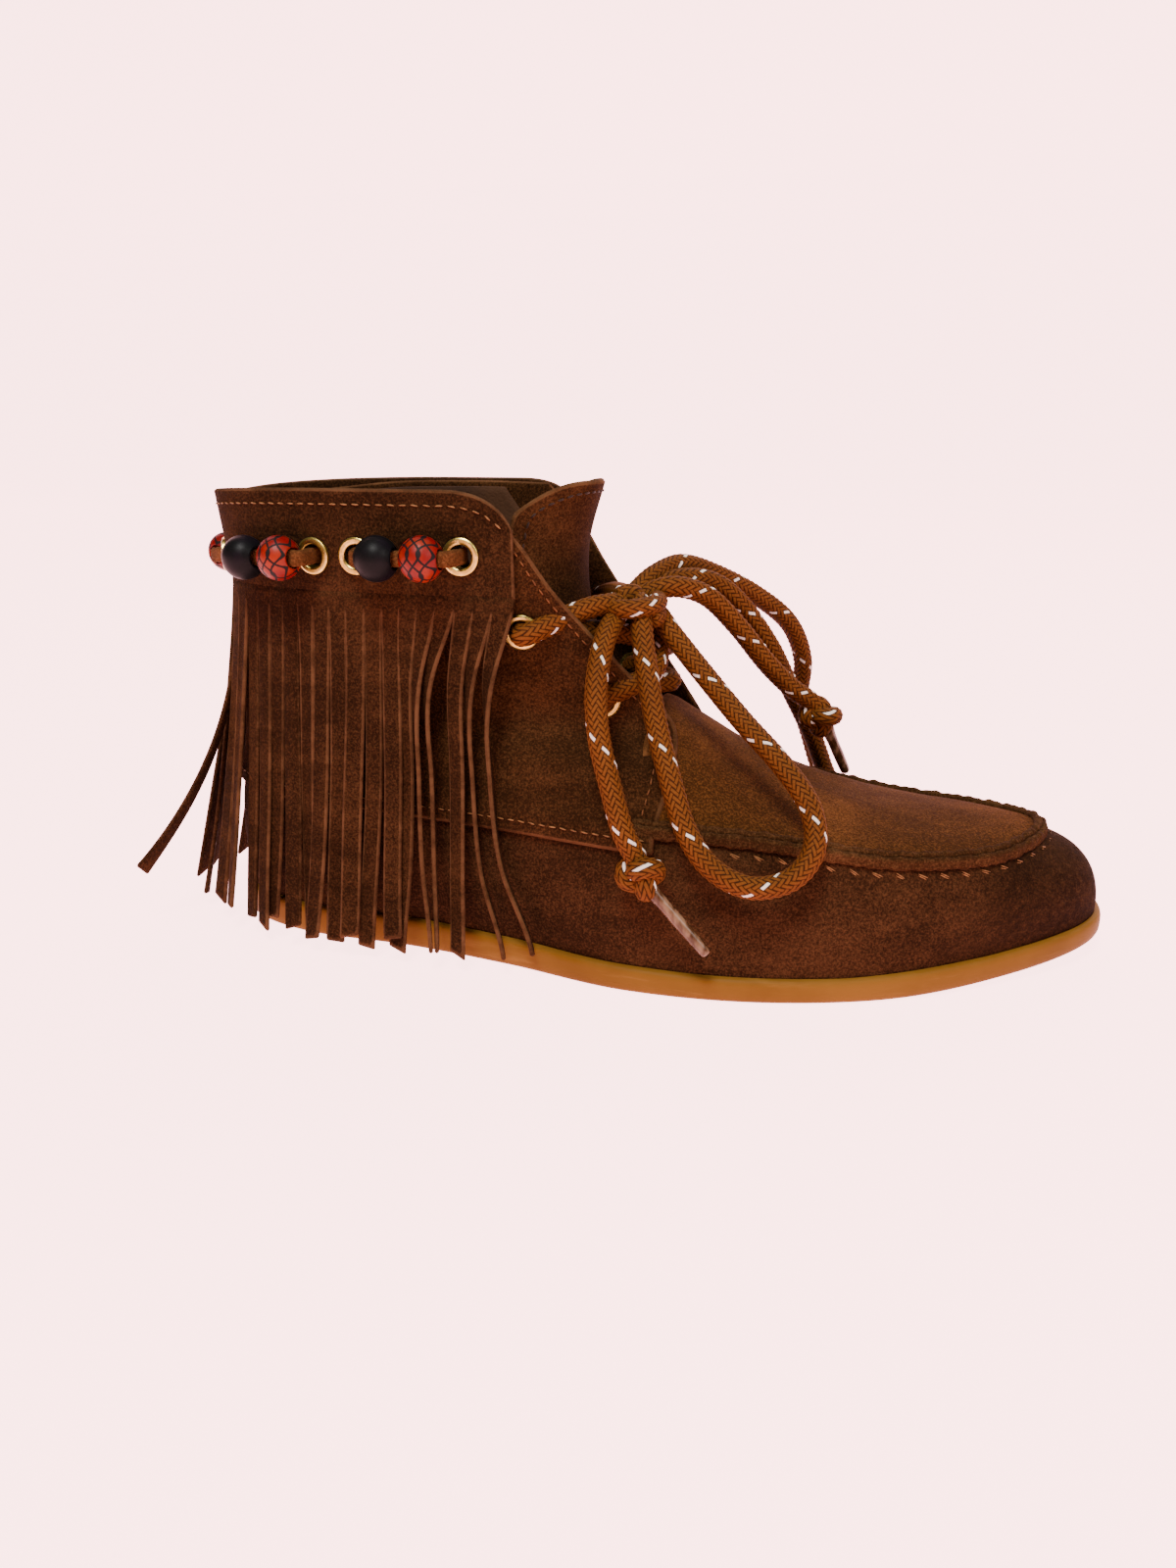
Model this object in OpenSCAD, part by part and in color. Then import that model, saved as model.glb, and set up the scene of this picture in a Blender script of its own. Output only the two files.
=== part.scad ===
// Suede moccasin ankle boot with a fringed, beaded collar. Right shoe.
// +X points to the toe, -Y is the outer side of the foot, and the sole rests on z = 0.

/* [Sole] */
// Length of the outsole
sole_l = 264; // [258:1:270]
// Extra width of the whole shoe, as a factor
width_f = 1; // [0.97:0.01:1.03]
// Height that the toe of the sole springs up
toe_spring = 6; // [4:0.5:7]

/* [Leather] */
// Thickness of the upper's suede
suede_t = 1.6; // [1.4:0.1:1.7]
// Thickness of the fringed collar's suede
fringe_t = 1.2; // [1:0.1:1.3]
// Width of one fringe strip
strip_w = 4.6; // [4.2:0.1:4.8]
// Spacing of the fringe strips along the collar
strip_pitch = 5.2; // [5.1:0.1:5.4]

/* [Beads and eyelets] */
// Diameter of a bead
bead_d = 12; // [11:0.5:12]
// Hole through a bead
bead_bore_d = 5.4; // [5.2:0.1:5.8]
// Outside diameter of an eyelet's flange
eyelet_d = 9.8; // [9:0.2:10]
// Bore of an eyelet
eyelet_bore_d = 6.4; // [6.2:0.1:6.6]
// Height of the suede thong that carries the beads
thong_h = 3.6; // [3.2:0.1:3.8]
// Thickness of the suede thong
thong_t = 1.4; // [1.2:0.1:1.5]

/* [Lace] */
// Diameter of the braided lace
lace_d = 6; // [5.6:0.1:6]
// Diameter of an aglet
aglet_d = 4.6; // [4.2:0.1:4.8]

/* [Hidden] */
GROUPS = 12;
FRINGE_NODES = ["fringe_01", "fringe_02", "fringe_03", "fringe_04", "fringe_05", "fringe_06",
                "fringe_07", "fringe_08", "fringe_09", "fringe_10", "fringe_11", "fringe_12"];
BEAD_NODES = ["bead_red_1", "bead_black_1", "bead_red_2", "bead_black_2", "bead_red_3",
              "bead_black_3", "bead_red_4", "bead_black_4", "bead_red_5", "bead_black_5"];
$fn = 48;

DRAWN_L = 264;           // length of the sole that the lists below are drawn for
DRAWN_SPRING = 6;        // toe spring that they are drawn for
SPRING_FROM = 60;        // where the sole begins to curve up
SX = sole_l / DRAWN_L;
SY = width_f;
GAP = 0.2;               // clear space between layers of leather
COLLAR_FOOT = 103;       // height where the fringe begins
COLLAR_TOP = 130;        // height of the collar's edge
EYELET_Z = 113.8;        // height of the front collar eyelets
EYELET_DIP = 5.2;        // how much lower they sit at the heel
HOLE_R = eyelet_bore_d / 2 + 0.85;
LACE_BROWN = "#7c4526";

// Plan of the outsole, from the middle of the heel along the outer side to the toe and back.
SOLE_PLAN = [[-134, 0], [-123, -23], [-100, -34], [-66, -36.5], [-34, -42], [0, -50],
             [36, -49], [72, -38.5], [103, -20], [123, -3], [130, 12], [126, 28], [107, 41],
             [74, 46.5], [36, 43.5], [0, 37], [-34, 32], [-66, 31], [-100, 30], [-123, 21]];
// Top edge of the vamp wall: the side seam at the back and the raised moccasin seam in front.
SEAM = [[-131, 0, 47], [-121, -20.5, 47], [-100, -31.5, 46.5], [-66, -36, 46], [-34, -41, 45.5],
        [0, -44.5, 43.5], [36, -41, 41], [68, -33.5, 36], [93, -21, 34.7], [106, -6, 35.5],
        [110, 7, 36], [106, 20, 34.5], [93, 32, 33], [68, 39, 33.5], [36, 40, 38.5], [0, 39, 43.5],
        [-34, 35, 45.5], [-66, 33, 46], [-100, 29, 46.5], [-121, 19, 47]];
PLAN_N = 20;             // points in each of the two lists
TOE_K = 10;              // index of the toe in both lists
QUARTER_K = 5.2;         // how far forward the quarters reach along the seam
// Middle line of the toe plug, height over X
PLUG_CREST = [[3, 69.2], [8, 66], [14, 62.3], [22, 57.2], [31, 52.4], [41, 48.4], [50, 45],
              [60, 42], [80, 39], [98, 37.6], [109, 36.5]];
// Front edge of the outer quarter from the seam to the collar
QUARTER_FRONT = [[7, -44, 44.5], [9.5, -34, 58], [8.3, -20, 67.8], [-2, -24, 80.5], [-12, -28.5, 92],
                 [-23, -33.5, 105.5], [-31, -35.6, 117], [-42, -36, 128.6]];
// Top edge of the outer quarter from the heel to the front
QUARTER_TOP = [[-130, 0, 125], [-125.5, -15, 125.3], [-111, -27.5, 126.6], [-90, -34.2, 128.6],
               [-65, -36, 129], [-42, -36, 128.6]];
// Back seam of the ankle, from the side seam to the collar
BACK_SEAM = [[-131, 0, 47], [-128.5, 0, 70], [-126, 0, 90], [-126.2, 0, 108], [-130, 0, 125]];
// Outer face of the collar band at its foot and at its top
BAND_FOOT = [[-128.6, 0], [-124, -16.5], [-111, -28.6], [-88, -36], [-60, -38.2], [-30.5, -38]];
BAND_TOP = [[-132.6, 0], [-127.6, -17], [-112.5, -29.6], [-89, -36.6], [-61, -38.6], [-30.5, -38.2]];

// ---------- small helpers ----------
function unit(v) = v / norm(v);
function mix3(a, b, t) = a * (1 - t) + b * t;
function size_to(p) = len(p) == 3 ? [p[0] * SX, p[1] * SY, p[2]] : [p[0] * SX, p[1] * SY];
function mirror_y(p) = len(p) == 3 ? [p[0], -p[1], p[2]] : [p[0], -p[1]];
function spline4(a, b, c, d, t) =
    0.5 * (2 * b + (c - a) * t + (2 * a - 5 * b + 4 * c - d) * t * t
           + (3 * b - a - 3 * c + d) * t * t * t);
// A point of a smooth open curve, s from 0 to 1
function open_pt(P, s) =
    let(n = len(P) - 1, x = min(max(s, 0), 1) * n, i = min(floor(x), n - 1))
    spline4(P[max(i - 1, 0)], P[i], P[i + 1], P[min(i + 2, n)], x - i);
// A point of a smooth closed curve, k counted in control points
function ring_pt(P, k) =
    let(n = len(P), w = k - n * floor(k / n), i = floor(w))
    spline4(P[(i + n - 1) % n], P[i], P[(i + 1) % n], P[(i + 2) % n], w - i);

// ---------- sole surfaces ----------
function spring_z(x) = x < SPRING_FROM ? 0 : toe_spring * pow((x - SPRING_FROM) / 72, 2);
SOLE_TOP = [[-140, 9.2], [-100, 9.2], [-60, 8.8], [-20, 7.8], [20, 6.9], [60, 6.8], [96, 8.6],
            [122, 11.2], [140, 14]];
function sole_top_z(x) =
    lookup(x, SOLE_TOP) + max(0, x - SPRING_FROM) * (toe_spring - DRAWN_SPRING) / 80;
function plan_pt(k, inset = 0) =
    let(p = ring_pt(SOLE_PLAN, k), t = unit(ring_pt(SOLE_PLAN, k + 0.06)
        - ring_pt(SOLE_PLAN, k - 0.06)))
    size_to(p + inset * [-t[1], t[0]]);

// ---------- upper surfaces ----------
function seam_pt(k) = size_to(ring_pt(SEAM, k));
function toe_weight(k) = let(w = k - PLAN_N * floor(k / PLAN_N)) exp(-pow((w - TOE_K) / 1.9, 2));
// Vamp wall, v from 0 at the sole to 1 at the seam; it bulges most round the toe.
function wall_pt(k, v) =
    let(f = plan_pt(k, 2.6), foot = [f[0], f[1], sole_top_z(f[0]) + 0.15],
        top = seam_pt(k), along = seam_pt(k + 0.1) - seam_pt(k - 0.1),
        out = unit(cross(along, top - foot)), bulge = 2 + 4.2 * toe_weight(k))
    mix3(foot, top, v) + out * bulge * pow(sin(180 * v), 0.85);
// Toe plug, m counted back from the toe, w from 0 on the outer side to 1 on the inner side
function plug_pt(m, w) =
    let(a = seam_pt(TOE_K - m), b = seam_pt(TOE_K + m), c = mix3(a, b, w),
        crest = lookup(c[0] / SX, PLUG_CREST), rise = max(crest - (a[2] + b[2]) / 2, 0))
    c + [0, 0, rise * (1 - pow(abs(2 * w - 1), 2.4))];
// Quarter, u from the heel to the front edge, v from the seam to the collar
function front_edge(v, side) =
    let(p = size_to(open_pt(QUARTER_FRONT, v))) side < 0 ? p : mirror_y(p) - [0, 2.5 * (1 - v), 0];
function quarter_pt(u, v, side) =
    let(k = side < 0 ? QUARTER_K * u : PLAN_N - QUARTER_K * u,
        s = seam_pt(k) + [0, 0, 3.5 * GAP],
        top = size_to(open_pt(QUARTER_TOP, u)),
        t = side < 0 ? top : mirror_y(top),
        back = size_to(open_pt(BACK_SEAM, v)) - mix3(size_to(BACK_SEAM[0]), size_to(BACK_SEAM[4]), v),
        edge = front_edge(v, side) - mix3(front_edge(0, side), front_edge(1, side), v))
    mix3(s, t, v) + back * pow(1 - u, 2) + edge * pow(u, 3);
// Outer face of the collar: c runs from -1 at the inner front to 0 at the heel and 1 at the
// outer front, h from 0 at the foot to 1 at the top
function collar_pt(c, h) =
    let(p = mix3(open_pt(BAND_FOOT, abs(c)), open_pt(BAND_TOP, abs(c)), h),
        q = size_to([p[0], p[1], COLLAR_FOOT + h * (COLLAR_TOP - COLLAR_FOOT)]))
    c > 0 ? q : mirror_y(q);
// The line that the collar eyelets and beads follow
function eyelet_pt(c) =
    collar_pt(c, (EYELET_Z - EYELET_DIP * pow(1 - abs(c), 1.7) - COLLAR_FOOT)
                 / (COLLAR_TOP - COLLAR_FOOT));
function collar_out(c) =
    let(a = collar_pt(c + 0.01, 0.4), b = collar_pt(c - 0.01, 0.4), t = unit(a - b))
    [t[1], -t[0], 0];

// ---------- solids from grids and paths ----------
function grid_out(G, i, j, ring) =
    let(r = len(G), c = len(G[0]),
        dj = ring ? G[i][(j + 1) % c] - G[i][(j + c - 1) % c]
                  : G[i][min(j + 1, c - 1)] - G[i][max(j - 1, 0)],
        di = G[min(i + 1, r - 1)][j] - G[max(i - 1, 0)][j])
    unit(cross(dj, di));

// A sheet of thickness t whose outer face is grid G, set back by inset
module leather(G, t, inset = 0, ring = false) {
    r = len(G);
    c = len(G[0]);
    n = r * c;
    last = ring ? c - 1 : c - 2;
    out = [for (i = [0:r - 1]) [for (j = [0:c - 1]) grid_out(G, i, j, ring)]];
    pts = concat(
        [for (i = [0:r - 1]) for (j = [0:c - 1]) G[i][j] - inset * out[i][j]],
        [for (i = [0:r - 1]) for (j = [0:c - 1]) G[i][j] - (inset + t) * out[i][j]]);
    function id(i, j) = i * c + j % c;
    skins = [for (i = [0:r - 2]) for (j = [0:last])
        let(a = id(i, j), b = id(i, j + 1), d = id(i + 1, j), e = id(i + 1, j + 1))
        each [[a, d, e], [a, e, b], [n + a, n + e, n + d], [n + a, n + b, n + e]]];
    foot = [for (j = [0:last]) let(a = id(0, j), b = id(0, j + 1))
        each [[a, b, n + b], [a, n + b, n + a]]];
    head = [for (j = [0:last]) let(a = id(r - 1, j), b = id(r - 1, j + 1))
        each [[b, a, n + a], [b, n + a, n + b]]];
    ends = ring ? [] : [for (i = [0:r - 2])
        let(a = id(i, 0), b = id(i + 1, 0), d = id(i, c - 1), e = id(i + 1, c - 1))
        each [[b, a, n + a], [b, n + a, n + b], [d, e, n + e], [d, n + e, n + d]]];
    polyhedron(points = pts, faces = concat(skins, foot, head, ends));
}

function tangents(P) =
    [for (i = [0:len(P) - 1]) unit(P[min(i + 1, len(P) - 1)] - P[max(i - 1, 0)])];
function carried(T, i, last, list) =
    i == len(T) ? list
    : let(m = unit(last - T[i] * (last * T[i]))) carried(T, i + 1, m, concat(list, [m]));

// Sweep a closed outline along path P; side is the outline's first direction at the start
module sweep(P, outline, side, fixed = false) {
    T = tangents(P);
    S = fixed ? [for (t = T) unit(side - t * (side * t))] : carried(T, 0, side, []);
    q = len(outline);
    n = len(P);
    pts = [for (i = [0:n - 1]) let(b = cross(T[i], S[i]))
        for (o = outline) P[i] + o[0] * S[i] + o[1] * b];
    sides = [for (i = [0:n - 2]) for (j = [0:q - 1])
        let(a = i * q + j, b = i * q + (j + 1) % q)
        each [[a, a + q, b + q], [a, b + q, b]]];
    caps = [[for (j = [0:q - 1]) j], [for (j = [q - 1:-1:0]) (n - 1) * q + j]];
    polyhedron(points = pts, faces = concat(sides, caps));
}
function round_outline(d, n = 8) = [for (i = [0:n - 1]) d / 2 * [cos(360 * i / n), sin(360 * i / n)]];
function flat_outline(w, t) = [[w, t] / 2, [-w, t] / 2, [-w, -t] / 2, [w, -t] / 2];
function smooth_path(P, n) = [for (i = [0:n]) size_to(open_pt(P, i / n))];
module cord(P, rings, d) {
    path = smooth_path(P, rings);
    t = unit(path[1] - path[0]);
    start = abs(t[2]) < 0.9 ? [0, 0, 1] : [0, 1, 0];
    sweep(path, round_outline(d), unit(start - t * (start * t)));
}
// Turn children so that +Z points along v
module point_along(v) {
    rotate([0, acos(v[2] / norm(v)), atan2(v[1], v[0])]) children();
}

// ---------- sole ----------
module sole_profile(low, high) {
    xs = [for (x = [-145:5:145]) x * SX];
    translate([0, 80, 0]) rotate([90, 0, 0]) linear_extrude(160)
        polygon(concat([for (x = xs) [x, low(x)]],
                       [for (i = [len(xs) - 1:-1:0]) [xs[i], high(xs[i])]]));
}
module plan_prism(inset, sides = 120) {
    linear_extrude(40) polygon([for (i = [0:sides - 1]) plan_pt(PLAN_N * i / sides, inset)]);
}
module outsole() {
    color("#c08a4e") intersection() {
        plan_prism(0);
        sole_profile(function (x) spring_z(x), function (x) sole_top_z(x));
    }
}
module insole_board() {
    color("#8a6b4a") intersection() {
        plan_prism(6.5);
        sole_profile(function (x) sole_top_z(x) + 0.05, function (x) sole_top_z(x) + 1.6);
    }
}
module footbed() {
    color("#5a3a26") intersection() {
        plan_prism(7);
        sole_profile(function (x) sole_top_z(x) + 1.65, function (x) sole_top_z(x) + 4.8);
    }
}

// ---------- upper ----------
module vamp_wall() {
    rows = 7;
    cols = 4 * PLAN_N;
    grid = [for (i = [0:rows]) [for (j = [0:cols - 1]) wall_pt(j / 4, i / rows)]];
    color("#4b2a18") leather(grid, suede_t, 0, true);
}
module toe_plug() {
    rows = [0.4, 0.7, 1.1, 1.5, 2, 2.5, 3, 3.5, 4, 4.4, 4.7];
    grid = [for (m = rows) [for (j = [0:16]) plug_pt(m, 0.5 - 0.5 * cos(180 * j / 16))
                            + [0, 0, suede_t + GAP]]];
    color("#7a4526") leather(grid, suede_t);
}
function quarter_grid(side, rows, cols, lift = 0, drop = 0) =
    [for (i = [0:rows]) [for (j = [0:cols])
        quarter_pt(side < 0 ? j / cols : 1 - j / cols, lift + (1 - lift - drop) * i / rows, side)]];
module heel_counter() {
    grid = [for (i = [0:5]) [for (j = [0:14]) wall_pt(17 + j * 6 / 14, 0.14 + 0.8 * i / 5)]];
    color("#b59a76") leather(grid, 1, suede_t + GAP);
}
module quarter(side) {
    color("#5b331d") difference() {
        leather(quarter_grid(side, 12, 20), suede_t);
        translate([-200, side < 0 ? -0.1 : -99.9, 0]) cube([100, 100, 200]);
        lace_holes(side);
        collar_holes();
    }
}
module quarter_lateral() {
    quarter(-1);
}
module quarter_medial() {
    quarter(1);
}
module ankle_lining() {
    rows = 8;
    cols = 14;
    keep = 11;               // columns kept, so that the lining ends behind the lace eyelets
    outer = quarter_grid(-1, rows, cols, 0.05, 0.03);
    inner = quarter_grid(1, rows, cols, 0.05, 0.03);
    grid = [for (i = [0:rows]) concat([for (j = [cols - keep:cols - 1]) inner[i][j]],
                                      [for (j = [0:keep]) outer[i][j]])];
    color("#3b2416") difference() {
        leather(grid, 0.8, suede_t + 4 * GAP);
        collar_holes();
    }
}

// ---------- lace eyelets ----------
function eyelet_site(side, level) =
    let(u = level == 1 ? 0.885 : 0.925, v = level == 1 ? 0.585 : 0.36)
    [quarter_pt(u, v, side),
     -side * unit(cross(quarter_pt(u + 0.01, v, side) - quarter_pt(u - 0.01, v, side),
                        quarter_pt(u, v + 0.01, side) - quarter_pt(u, v - 0.01, side)))];
module lace_holes(side) {
    for (level = [0, 1]) {
        site = eyelet_site(side, level);
        translate(site[0]) point_along(site[1]) cylinder(r = HOLE_R, h = 12, center = true);
    }
}
// A rolled brass eyelet: a domed flange outside, a barrel, and a small rim inside
module eyelet(depth) {
    color("#c9a24b") rotate_extrude() difference() {
        union() {
            translate([eyelet_bore_d / 2, -depth]) square([0.45, depth + 0.5]);
            translate([eyelet_bore_d / 2, 0.05]) intersection() {
                square([(eyelet_d - eyelet_bore_d) / 2, 1.1]);
                translate([(eyelet_d - eyelet_bore_d) / 4, -0.1])
                    circle(r = (eyelet_d - eyelet_bore_d) / 4 + 0.4);
            }
            translate([eyelet_bore_d / 2, -depth - 0.4]) square([1.1, 0.4]);
        }
        square([eyelet_bore_d / 2, 40]);
    }
}
module collar_eyelets() {
    for (c = EYELET_C)
        translate(eyelet_pt(c)) point_along(collar_out(c)) translate([0, 0, 0.4])
            eyelet(fringe_t + suede_t + 4.6);
}
module lace_eyelet(side, level) {
    site = eyelet_site(side, level);
    translate(site[0]) point_along(site[1]) translate([0, 0, 0.6]) eyelet(suede_t + 1.9);
}
module eyelet_lateral_upper() {
    lace_eyelet(-1, 1);
}
module eyelet_lateral_lower() {
    lace_eyelet(-1, 0);
}
module eyelet_medial_upper() {
    lace_eyelet(1, 1);
}
module eyelet_medial_lower() {
    lace_eyelet(1, 0);
}

// ---------- tongue ----------
// Middle line of the tongue, and the forward direction of its face as an angle from +X
TONGUE_LINE = [[18, 0, 57.6], [7, 0, 62.6], [-5, 0, 71.5], [-15, 0, 84], [-20.5, 0, 98],
               [-21, 0, 114], [-16.5, 0, 131]];
TONGUE_TILT = [[0, 62], [1, 60], [2, 48], [3, 28], [4, 8], [5, -8], [6, -14]];
function tongue_pt(s, w) =
    let(p = size_to(open_pt(TONGUE_LINE, s)), a = lookup(6 * s, TONGUE_TILT),
        half = lookup(s, [[0, 15], [0.3, 19], [0.5, 20], [0.75, 24], [1, 22]]), x = 2 * w - 1,
        drop = lookup(s, [[0, 7], [0.3, 15], [0.7, 17], [1, 16]]) * pow(abs(x), 2.3))
    p + [-drop * cos(a), half * x * SY, -drop * sin(a) - 1.5 * s * s * x * x];
module tongue() {
    grid = [for (i = [0:12]) [for (j = [0:12]) tongue_pt(i / 12, j / 12)]];
    color("#5f361f") leather(grid, suede_t);
}

// ---------- fringed collar ----------
FRONT_C = 0.985;         // where the band stops at the front
// Height of the band's top edge: rounded down at the front corner
function band_top(c) =
    let(x = collar_pt(c, 1)[0] / SX, over = max(0, (x + 52) / 21.5),
        edge = 130 - 3.4 * pow(1 - min(1, abs(c) * 1.4), 2))
    (edge - 16 * (1 - sqrt(max(0, 1 - pow(min(over, 0.999), 2.6)))) - COLLAR_FOOT)
        / (COLLAR_TOP - COLLAR_FOOT);
module collar_holes() {
    for (c = EYELET_C)
        translate(eyelet_pt(c)) point_along(collar_out(c))
            cylinder(r = HOLE_R, h = 24, center = true);
}
// Places of the collar eyelets, in pairs, and of the beads between them
EYELET_C = [0.89, 0.70, 0.605, 0.385, 0.17, -0.24, -0.345, -0.60, -0.70, -0.905];
BEAD_C = [0.843, 0.763, 0.56, 0.465, -0.03, -0.156, -0.42, -0.515, -0.763, -0.845];
BEAD_OUT = bead_d / 2 + 1.4;
module fringe_collar() {
    cols = 44;
    grid = [for (i = [0:4]) [for (j = [0:cols])
        let(c = -FRONT_C + 2 * FRONT_C * j / cols, top = band_top(c))
        collar_pt(c, top * i / 4)]];
    color("#5e351e") difference() {
        leather(grid, fringe_t);
        collar_holes();
    }
}
// Length along the collar's foot from the inner front, against c
FOOT_STEPS = 80;
FOOT_PTS = [for (i = [0:FOOT_STEPS]) collar_pt(FRONT_C * (2 * i / FOOT_STEPS - 1), 0)];
FOOT_STEP_L = [for (i = [0:FOOT_STEPS]) i == 0 ? 0 : norm(FOOT_PTS[i] - FOOT_PTS[i - 1])];
function run_to(i) = i == 0 ? 0 : FOOT_STEP_L[i] + run_to(i - 1);
FOOT_RUN = [for (i = [0:FOOT_STEPS]) [run_to(i), FRONT_C * (2 * i / FOOT_STEPS - 1)]];
// Fringe strips: index i from the inner front round the heel to the outer front
STRIPS = floor(FOOT_RUN[FOOT_STEPS][0] / strip_pitch);
SEED_LEN = rands(0, 5, STRIPS, 17);
SEED_OUT = rands(-1.6, 1.6, STRIPS, 23);
SEED_SIDE = rands(-1.3, 1.3, STRIPS, 31);
function strip_c(i) = lookup((i + 0.5) * FOOT_RUN[FOOT_STEPS][0] / STRIPS, FOOT_RUN);
STRAY = round(STRIPS * 0.56);              // one strip near the heel stands far out
function strip_point(i, t) =
    let(c = strip_c(i), root = collar_pt(c, 0) - [0, 0, 1.2], out = collar_out(c),
        tip_z = 4 + SEED_LEN[i] + (i == STRAY ? 9 : 0),
        heel = exp(-pow(c / 0.28, 2)),
        flare = 10.3 + 10.2 * heel + SEED_OUT[i] * 0.5 + (i == STRAY ? 20 : 0),
        side = i == STRAY ? 0 : SEED_SIDE[i] * 0.35)
    [root[0], root[1], root[2] + (tip_z - root[2]) * t]
        + out * (flare * pow(t, i == STRAY ? 2.2 : 1.25) - fringe_t / 2)
        + side * t * t * [-out[1], out[0], 0];
module fringe_strip(i) {
    path = [for (s = [0:6]) strip_point(i, s / 6)];
    out = collar_out(strip_c(i));
    sweep(path, flat_outline(strip_w, fringe_t), [-out[1], out[0], 0], true);
}
function group_start(g) = round(STRIPS * g / GROUPS);
module fringe_group(g) {
    color(g % 2 == 0 ? "#6a3d23" : "#643920")
        for (i = [group_start(g):group_start(g + 1) - 1]) fringe_strip(i);
}

// ---------- beads and thong ----------
function bead_at(i) =
    let(p = eyelet_pt(BEAD_C[i])) p + BEAD_OUT * collar_out(BEAD_C[i]);
// The two beads of a pair sit on one straight stretch of the thong.
function bead_axis(i) = let(a = bead_at(2 * floor(i / 2)), b = bead_at(2 * floor(i / 2) + 1))
    unit(b - a);
module bead(i) {
    color(i % 2 == 0 ? "#b3261a" : "#1d1d20")
        translate(bead_at(i)) point_along(bead_axis(i)) rotate_extrude() difference() {
            intersection() {
                circle(d = bead_d);
                translate([0, -bead_d / 2 + 0.5]) square([bead_d, bead_d - 1]);
            }
            square([bead_bore_d, bead_d + 2], center = true);
            translate([-bead_d, -bead_d / 2]) square([bead_d, bead_d]);
        }
}
// One continuous thong: out through one eyelet, through two beads, in through the next
function thong_at(c, off) = eyelet_pt(c) + off * collar_out(c);
INNER_RUN = -10;
function thong_out(i) =
    let(a = EYELET_C[2 * i], b = EYELET_C[2 * i + 1], u = bead_axis(2 * i),
        p = bead_at(2 * i), q = bead_at(2 * i + 1), reach = bead_d / 2 + 0.6)
    [thong_at(a, -3.5), thong_at(a, 1.5), p - reach * u, p, q, q + reach * u,
     thong_at(b, 1.5), thong_at(b, -3.5)];
function thong_in(a, b) = [thong_at(a * 0.85 + b * 0.15, INNER_RUN),
                           thong_at(a * 0.15 + b * 0.85, INNER_RUN)];
THONG_LINE = [for (i = [0:4])
    each concat(thong_out(i), i < 4 ? thong_in(EYELET_C[2 * i + 1], EYELET_C[2 * i + 2]) : [])];
module bead_thong() {
    n = 4 * (len(THONG_LINE) - 1);
    path = [for (i = [0:n]) open_pt(THONG_LINE, i / n)];
    color("#7b4a2c") sweep(path, flat_outline(thong_h, thong_t), [0, 0, 1], true);
}

// ---------- lace ----------
KNOT = [-6, -12, 100];
// Routes of the free stretches, from the bow knot outwards
LOOP_LATERAL = [[-2, -17, 99], [0, -24, 92], [3, -31, 82], [7, -38, 70], [12, -45, 58], [17, -50, 47],
                [24, -53, 39], [34, -54, 35], [44, -51, 37], [49, -46, 44], [47, -40, 53],
                [39, -34, 62], [28, -27, 71], [17, -20, 81], [7, -15, 91], [1, -12, 97.5]];
LOOP_MEDIAL = [[-3, -7, 101], [4, 0, 104.5], [13, 8, 103.5], [21, 14, 97], [30, 22, 83],
               [36, 30, 69], [43, 38, 53], [48, 46, 38], [51, 50.5, 32], [50, 55, 30],
               [46, 58, 35], [42, 58.5, 46], [38, 56, 60], [38.5, 50, 74], [34, 42, 87],
               [24, 31, 97], [13, 18, 104.5], [5, 8, 108], [-1, -2, 106]];
TAIL_LATERAL = [[-8, -19, 97], [-9, -30, 92], [-9, -40, 82], [-7, -46, 70], [-3, -50, 58],
                [1, -53, 47], [4, -53, 41]];
TAIL_MEDIAL = [[-1, -9, 102], [6, -7, 103.5], [14, 0, 100], [22, 6, 91], [30, 11.5, 80],
               [37, 16.5, 72], [43, 20.5, 67]];
STOPPER_LATERAL = [6, -53.5, 35.5];
STOPPER_MEDIAL = [46, 22, 62];
AGLET_LATERAL = [[10, -54.5, 31], [24, -56, 16.5]];
AGLET_MEDIAL = [[49, 24.5, 56.5], [54.6, 33.2, 42.2]];
module ball(p, r) {
    translate(size_to(p)) sphere(r = r, $fn = 32);
}
module lace_throat() {
    lo = [for (s = [-1, 1]) eyelet_site(s, 0)];
    hi = [for (s = [-1, 1]) eyelet_site(s, 1)];
    color(LACE_BROWN) {
        for (s = [0, 1]) {
            y = s == 0 ? 1 : -1;
            far = 1 - s;
            cross_over = [lo[s][0] - 4 * lo[s][1], lo[s][0] + 1 * lo[s][1],
                lo[s][0] + 5.2 * lo[s][1] + [-2, 2 * y, 2],
                [2, -17 * y, 82 + 2 * s], [-1, 0, 90 + 4.5 * y], [-6, 14 * y, 91],
                hi[far][0] - 5.5 * hi[far][1] + [12, -1.5 * y, -1],
                hi[far][0] - 5 * hi[far][1]];
            cord(cross_over, 20, lace_d);
            out_knot = [hi[s][0] - 3.4 * hi[s][1], hi[s][0] + 1.4 * hi[s][1],
                hi[s][0] + 4.4 * hi[s][1] + [2.5, 1 * y, 1],
                mix3(hi[s][0] + 6 * hi[s][1], KNOT, 0.5) + [3, 0, 3], KNOT + [-1, -5 * y, 0]];
            cord(out_knot, 10, lace_d);
        }
        inner_bar = [lo[0][0] - 4 * lo[0][1], lo[0][0] - 8 * lo[0][1] + [4, 5, 1], [4, 0, 75.5],
            lo[1][0] - 8 * lo[1][1] + [4, -5, 1], lo[1][0] - 4 * lo[1][1]];
        cord(inner_bar, 9, lace_d);
    }
}
module bow_knot() {
    color(LACE_BROWN) hull() {
        ball(KNOT + [-1, 2.5, 0], 5);
        ball(KNOT + [1, -2.5, 1], 5);
        ball(KNOT + [1, 0, -3], 4);
    }
}
module bow_loop_lateral() {
    color(LACE_BROWN) cord(LOOP_LATERAL, 30, lace_d);
}
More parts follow.
